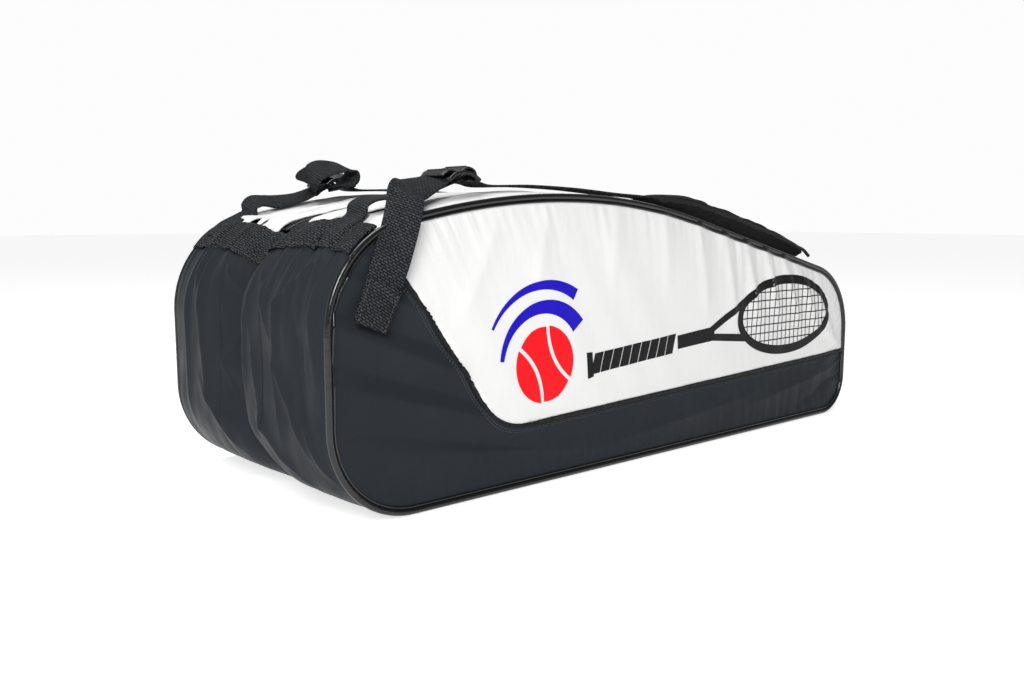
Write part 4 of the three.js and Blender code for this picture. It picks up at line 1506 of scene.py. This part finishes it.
def swollen(obj, swell, seconds=20):
    """Blows a closed form up with cloth pressure, keeps each point within swell of where it was, and
    smooths it."""
    remesh = obj.modifiers.new("Voxels", "REMESH")
    remesh.mode, remesh.voxel_size = "VOXEL", 5 * MM
    graph = bpy.context.evaluated_depsgraph_get()
    mesh = bpy.data.meshes.new_from_object(obj.evaluated_get(graph))
    obj.modifiers.clear()
    obj.data = mesh
    start = np.empty(len(mesh.vertices) * 3)
    mesh.vertices.foreach_get("co", start)
    start = start.reshape(-1, 3)
    cloth = obj.modifiers.new("Cloth", "CLOTH")
    cloth.settings.use_pressure = True
    cloth.settings.uniform_pressure_force = 4.0
    cloth.settings.effector_weights.gravity = 0.0
    cloth.point_cache.frame_start, cloth.point_cache.frame_end = 1, seconds
    scene = bpy.context.scene
    for step in range(1, seconds + 1):
        scene.frame_set(step)
    puffed = bpy.data.meshes.new_from_object(obj.evaluated_get(bpy.context.evaluated_depsgraph_get()))
    end = np.empty(len(puffed.vertices) * 3)
    puffed.vertices.foreach_get("co", end)
    move = end.reshape(-1, 3) - start
    size = np.linalg.norm(move, axis=1, keepdims=True)
    move *= np.minimum(1, swell / np.maximum(size, 1e-9))
    obj.modifiers.clear()
    mesh.vertices.foreach_set("co", (start + move).ravel())
    mesh.update()
    scene.frame_set(1)
    mesh.polygons.foreach_set("use_smooth", np.ones(len(mesh.polygons), bool))
    finer = obj.modifiers.new("Finer", "SUBSURF")
    finer.levels = finer.render_levels = 1
    graph = bpy.context.evaluated_depsgraph_get()
    obj.data = bpy.data.meshes.new_from_object(obj.evaluated_get(graph))
    obj.modifiers.clear()
    return obj


def make_strap_pads():
    """Foam pads: an oval section, rounder at its edges, carried along the top and swollen by a cloth
    simulation, with a bound edge and the webbing tongue that runs on to the lock."""
    for side in SIDES:
        run, under, thick, y, half = pad_lines(side)
        a = np.linspace(0, 2 * math.pi, 41)[None, :]
        lift = lambda v, p: np.sign(v) * np.abs(v) ** p
        width = (half - 4.5 * MM) * (1 - 0.10 * smooth(run, run[-1] - 0.05, run[-1]))
        ends = np.sqrt(np.clip(1 - np.abs(2 * np.linspace(0, 1, len(run)) - 1) ** 26, 0.0, 1))
        across = lift(np.cos(a), 0.7) * (width * ends)[:, None]
        up = (under + thick / 2)[:, None] + lift(np.sin(a), 0.8) * (
            0.5 * thick * ends - 1.2 * MM * ends
        )[:, None]
        form = build(
            f"{side}_shoulder_pad",
            [sheets(OUTLINE.wall(run[:, None] + 0 * a, y + across, up))],
            [finish_of(pad_mesh)]
        )
        pad = swollen(form, sizes().pad_swell)
        pad.data.materials.clear()
        pad.data.materials.append(finish_of(pad_mesh))
        body = f"{side}_strap"
        finished(pad, body, "black_padding", f"{side}_strap_pad")

        rise = under + thick / 2
        edges = []
        for sign in (-1, 1):
            line = OUTLINE.wall(run[1:-1], y + sign * (half - 1.6 * MM), rise[1:-1])
            edges.append(sweep(line, (0, 1, 0), circle(2.1 * MM, 10)))
        binding = build(f"{side}_pad_binding", edges, [finish_of(binding_tape)])
        finished(binding, body, "black_padding")

        lock = lock_middle(side)
        far = OUTLINE.wall(np.array([OUTLINE.top(x) for x in (0.060, 0.020, -0.030, -0.090, -0.150)]), y,
                           np.array([14, 11, 6.5, 6.0, 7.5]) * MM)
        path = [
            *far.tolist(),
            (lock[0] + 0.030, y, lock[2] - 0.0060),
            (lock[0] + 0.015, y, lock[2] - 0.0035),
            (lock[0] + 0.002, y, lock[2] - 0.0020)
        ]
        tongue = strap_piece(f"{side}_strap_tongue", path, [(0, 1, 0)] * 4, sizes().webbing_width, 2 * MM)
        finished(tongue, body, "black_webbing")


def make_strap_anchors():
    """Webbing patches that hold the low ends of the straps, with a crossed box of stitches."""
    for side in SIDES:
        lo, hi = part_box(f"{side}_strap_anchor")
        y, half = (lo.y + hi.y) / 2, (hi.y - lo.y) / 2
        run = np.linspace(OUTLINE.top(hi.x), OUTLINE.top(lo.x), 20)
        patch = sweep(OUTLINE.wall(run, y, 1.5 * MM), (0, 1, 0), stadium(2 * half, 2.0 * MM))
        _, normal = OUTLINE.at(run.mean())
        up = np.array([normal[0], 0, normal[1]])
        corner = lambda r, s: OUTLINE.wall(
            np.array(run[2] + r * (run[-3] - run[2])), y + s * half * 0.86, np.array(2.7 * MM)
        )
        lines = [
            ((0, -1), (0, 1)),
            ((1, -1), (1, 1)),
            ((0, -1), (1, -1)),
            ((0, 1), (1, 1)),
            ((0, -1), (1, 1)),
            ((0, 1), (1, -1))
        ]
        rows = [
            stitch_line(
                np.linspace(corner(*p), corner(*q), 20), up, 3.6 * MM, 2.8 * MM, material=1
            ) for p, q in lines
        ]
        piece = build(f"{side}_anchor_patch", [patch, *rows], [finish_of(woven_webbing), dark_thread()])
        finished(piece, f"{side}_cover", "black_webbing", f"{side}_strap_anchor")


def make_base_boards():
    """The stiffener boards keep their frame shape and take the board's finish."""
    for compartment in COMPARTMENTS:
        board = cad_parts[f"{compartment}_base_board"]
        board.data.materials.clear()
        board.data.materials.append(finish_of(board_plastic))


# ---------------------------------------------------------------- stage


def pale_stage(name, colour, roughness):
    f = Finish(
        name, colour, roughness, Emission_Color=(1, 1, 1, 1), Emission_Strength=0.72, Specular_IOR_Level=0.1
    )
    return f.tint(f.noise(3, 2), 0.99, 1.0).material


def soft_light(name, place, aim, width, power):
    """A square area light of a given width, turned to face a point."""
    data = bpy.data.lights.new(name, "AREA")
    data.shape, data.size, data.energy = "SQUARE", width, power
    lamp = bpy.data.objects.new(name, data)
    lamp.location = place
    lamp.rotation_euler = (Vector(aim) - Vector(place)).to_track_quat("-Z", "Y").to_euler()
    bpy.context.scene.collection.objects.link(lamp)


CAMERA_PLACE = Vector((-0.7859, -0.8243, 0.2610))
CAMERA_TURN, CAMERA_TILT = math.radians(-41.15), math.radians(7.47)
CAMERA_LENS = 34.03


def sky(tree):
    """White walls up to about 12 degrees above the floor and a dimmer ceiling; dimmer in front of the bag,
    to its left and to its lower right, so that the sides shade off evenly."""
    place = tree.nodes.new("ShaderNodeTexCoord")
    split = tree.nodes.new("ShaderNodeSeparateXYZ")
    tree.links.new(place.outputs["Generated"], split.inputs[0])
    x, y, z = split.outputs
    aside = tree.nodes.new("ShaderNodeMath")
    aside.operation = "MULTIPLY_ADD"
    tree.links.new(y, aside.inputs[0])
    aside.inputs[1].default_value = -2.0
    tree.links.new(x, aside.inputs[2])
    total = None
    for value, start, end, low, high in (
        (z, 0.20, 0.42, 0.98, 0.36),
        (y, -0.5, -0.05, 0.66, 1.0),
        (x, -0.7, 0.0, 0.62, 1.0),
        (aside.outputs[0], 0.6, 1.9, 1.0, 0.5),
    ):
        fade = tree.nodes.new("ShaderNodeMapRange")
        tree.links.new(value, fade.inputs["Value"])
        for socket, number in {"From Min": start, "From Max": end, "To Min": low, "To Max": high}.items():
            fade.inputs[socket].default_value = number
        if total is None:
            total = fade.outputs[0]
            continue
        both = tree.nodes.new("ShaderNodeMath")
        both.operation = "MULTIPLY"
        tree.links.new(total, both.inputs[0])
        tree.links.new(fade.outputs[0], both.inputs[1])
        total = both.outputs[0]
    tree.links.new(total, tree.nodes["Background"].inputs["Strength"])
    tree.nodes["Background"].inputs["Color"].default_value = (1, 1, 1, 1)


def make_stage():
    """A pale floor, white surroundings, soft area lights and the camera."""
    scene = bpy.context.scene
    reach = np.linspace(-12, 12, 3)
    x, y = np.meshgrid(reach, reach, indexing="ij")
    paint = pale_stage("pale floor", (0.62, 0.62, 0.62), 0.9)
    floor = build("floor", [sheets(np.stack([x, y, 0 * x - 0.6 * MM], -1))], [paint], (0, 0, 1))
    world = bpy.data.worlds.new("white surroundings")
    world.use_nodes = True
    sky(world.node_tree)
    scene.world = world
    soft_light("key softbox", (-1.45, -1.3, 1.15), (-0.2, 0, 0.12), 0.8, 36)
    soft_light("top softbox", (-0.5, 0.4, 2.0), (-0.1, 0, 0.1), 1.2, 26)
    data = bpy.data.cameras.new("camera")
    data.lens, data.sensor_width = CAMERA_LENS, 36.0
    data.clip_start, data.clip_end = 0.01, 60
    camera = bpy.data.objects.new("camera", data)
    back = Vector(
        (
            math.sin(CAMERA_TURN) * math.cos(CAMERA_TILT),
            -math.cos(CAMERA_TURN) * math.cos(CAMERA_TILT),
            math.sin(CAMERA_TILT),
        )
    )
    camera.location = CAMERA_PLACE
    camera.rotation_mode = "QUATERNION"
    camera.rotation_quaternion = (-back).to_track_quat("-Z", "Y")
    scene.collection.objects.link(camera)
    scene.camera = camera
    scene.view_settings.view_transform = "Standard"


# ---------------------------------------------------------------- add-on


class RACKET_BAG_OT_side_panels(bpy.types.Operator):
    """Sew the white and charcoal padded panels"""

    bl_idname = "racket_bag.side_panels"
    bl_label = "Side panels"
    bl_options = {"REGISTER", "UNDO"}

    def execute(self, context):
        make_side_panels()
        return {"FINISHED"}


class RACKET_BAG_OT_side_trims(bpy.types.Operator):
    """Run the piping, welt and seam binding"""

    bl_idname = "racket_bag.side_trims"
    bl_label = "Piping and bindings"
    bl_options = {"REGISTER", "UNDO"}

    def execute(self, context):
        make_side_trims()
        return {"FINISHED"}


class RACKET_BAG_OT_side_prints(bpy.types.Operator):
    """Print the racket and ball on the white panels"""

    bl_idname = "racket_bag.side_prints"
    bl_label = "Side prints"
    bl_options = {"REGISTER", "UNDO"}

    def execute(self, context):
        make_side_prints()
        return {"FINISHED"}


class RACKET_BAG_OT_end_walls(bpy.types.Operator):
    """Gather the end walls and lay the bases"""

    bl_idname = "racket_bag.end_walls"
    bl_label = "End walls and base"
    bl_options = {"REGISTER", "UNDO"}

    def execute(self, context):
        make_end_walls()
        return {"FINISHED"}


class RACKET_BAG_OT_end_bands(bpy.types.Operator):
    """Sew the ribbed webbing over the tall end"""

    bl_idname = "racket_bag.end_bands"
    bl_label = "End bands"
    bl_options = {"REGISTER", "UNDO"}

    def execute(self, context):
        make_end_bands()
        return {"FINISHED"}


class RACKET_BAG_OT_dividers(bpy.types.Operator):
    """Hang the dividers between the compartments"""

    bl_idname = "racket_bag.dividers"
    bl_label = "Dividers"
    bl_options = {"REGISTER", "UNDO"}

    def execute(self, context):
        make_dividers()
        return {"FINISHED"}


class RACKET_BAG_OT_top_strips(bpy.types.Operator):
    """Lay the white strips between the zips"""

    bl_idname = "racket_bag.top_strips"
    bl_label = "Top strips"
    bl_options = {"REGISTER", "UNDO"}

    def execute(self, context):
        make_top_strips()
        return {"FINISHED"}


class RACKET_BAG_OT_zip_tapes(bpy.types.Operator):
    """Lay the zip tapes and their teeth"""

    bl_idname = "racket_bag.zip_tapes"
    bl_label = "Zip tapes"
    bl_options = {"REGISTER", "UNDO"}

    def execute(self, context):
        make_zip_tapes()
        return {"FINISHED"}


class RACKET_BAG_OT_zip_sliders(bpy.types.Operator):
    """Fit the sliders and their pulls"""

    bl_idname = "racket_bag.zip_sliders"
    bl_label = "Zip sliders"
    bl_options = {"REGISTER", "UNDO"}

    def execute(self, context):
        make_zip_sliders()
        return {"FINISHED"}


class RACKET_BAG_OT_strap_webbing(bpy.types.Operator):
    """Arch the lower webbing from band to lock"""

    bl_idname = "racket_bag.strap_webbing"
    bl_label = "Strap webbing"
    bl_options = {"REGISTER", "UNDO"}

    def execute(self, context):
        make_strap_webbing()
        return {"FINISHED"}


class RACKET_BAG_OT_strap_tails(bpy.types.Operator):
    """Fold and loop the free ends of the straps"""

    bl_idname = "racket_bag.strap_tails"
    bl_label = "Strap tails"
    bl_options = {"REGISTER", "UNDO"}

    def execute(self, context):
        make_strap_tails()
        return {"FINISHED"}


class RACKET_BAG_OT_ladder_locks(bpy.types.Operator):
    """Fit the ladder locks"""

    bl_idname = "racket_bag.ladder_locks"
    bl_label = "Ladder locks"
    bl_options = {"REGISTER", "UNDO"}

    def execute(self, context):
        make_ladder_locks()
        return {"FINISHED"}


class RACKET_BAG_OT_strap_pads(bpy.types.Operator):
    """Swell the shoulder pads and bind them"""

    bl_idname = "racket_bag.strap_pads"
    bl_label = "Strap pads"
    bl_options = {"REGISTER", "UNDO"}

    def execute(self, context):
        make_strap_pads()
        return {"FINISHED"}


class RACKET_BAG_OT_strap_anchors(bpy.types.Operator):
    """Stitch the anchor patches"""

    bl_idname = "racket_bag.strap_anchors"
    bl_label = "Strap anchors"
    bl_options = {"REGISTER", "UNDO"}

    def execute(self, context):
        make_strap_anchors()
        return {"FINISHED"}


class RACKET_BAG_OT_base_boards(bpy.types.Operator):
    """Finish the stiffener boards"""

    bl_idname = "racket_bag.base_boards"
    bl_label = "Base boards"
    bl_options = {"REGISTER", "UNDO"}

    def execute(self, context):
        make_base_boards()
        return {"FINISHED"}


class RACKET_BAG_OT_stage(bpy.types.Operator):
    """Set the floor, lights and camera"""

    bl_idname = "racket_bag.stage"
    bl_label = "Stage"
    bl_options = {"REGISTER", "UNDO"}

    def execute(self, context):
        make_stage()
        return {"FINISHED"}


OPERATORS = [
    RACKET_BAG_OT_side_panels,
    RACKET_BAG_OT_side_trims,
    RACKET_BAG_OT_side_prints,
    RACKET_BAG_OT_end_walls,
    RACKET_BAG_OT_end_bands,
    RACKET_BAG_OT_dividers,
    RACKET_BAG_OT_top_strips,
    RACKET_BAG_OT_zip_tapes,
    RACKET_BAG_OT_zip_sliders,
    RACKET_BAG_OT_strap_webbing,
    RACKET_BAG_OT_strap_tails,
    RACKET_BAG_OT_ladder_locks,
    RACKET_BAG_OT_strap_pads,
    RACKET_BAG_OT_strap_anchors,
    RACKET_BAG_OT_base_boards,
    RACKET_BAG_OT_stage,
]


class RACKET_BAG_PT_panel(bpy.types.Panel):
    """Lists the bag's sizes, colours and pieces in the sidebar."""

    bl_label = "Racket bag"
    bl_idname = "RACKET_BAG_PT_panel"
    bl_space_type = "VIEW_3D"
    bl_region_type = "UI"
    bl_category = "Racket bag"

    def draw(self, context):
        for group in (sizes(), colours()):
            box = self.layout.box()
            for key in group.bl_rna.properties.keys():
                if key not in ("rna_type", "name"):
                    box.prop(group, key)
        for operator in OPERATORS:
            self.layout.operator(operator.bl_idname)


CLASSES = [BagSizes, BagColours, *OPERATORS, RACKET_BAG_PT_panel]


def register():
    for c in CLASSES:
        bpy.utils.register_class(c)
    bpy.types.Scene.racket_bag_sizes = bpy.props.PointerProperty(type=BagSizes)
    bpy.types.Scene.racket_bag_colours = bpy.props.PointerProperty(type=BagColours)


def unregister():
    del bpy.types.Scene.racket_bag_sizes, bpy.types.Scene.racket_bag_colours
    for c in reversed(CLASSES):
        bpy.utils.unregister_class(c)


def main():
    """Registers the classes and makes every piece."""
    register()
    for operator in OPERATORS:
        getattr(bpy.ops.racket_bag, operator.bl_idname.split(".")[1])()


if __name__ == "__main__":
    main()
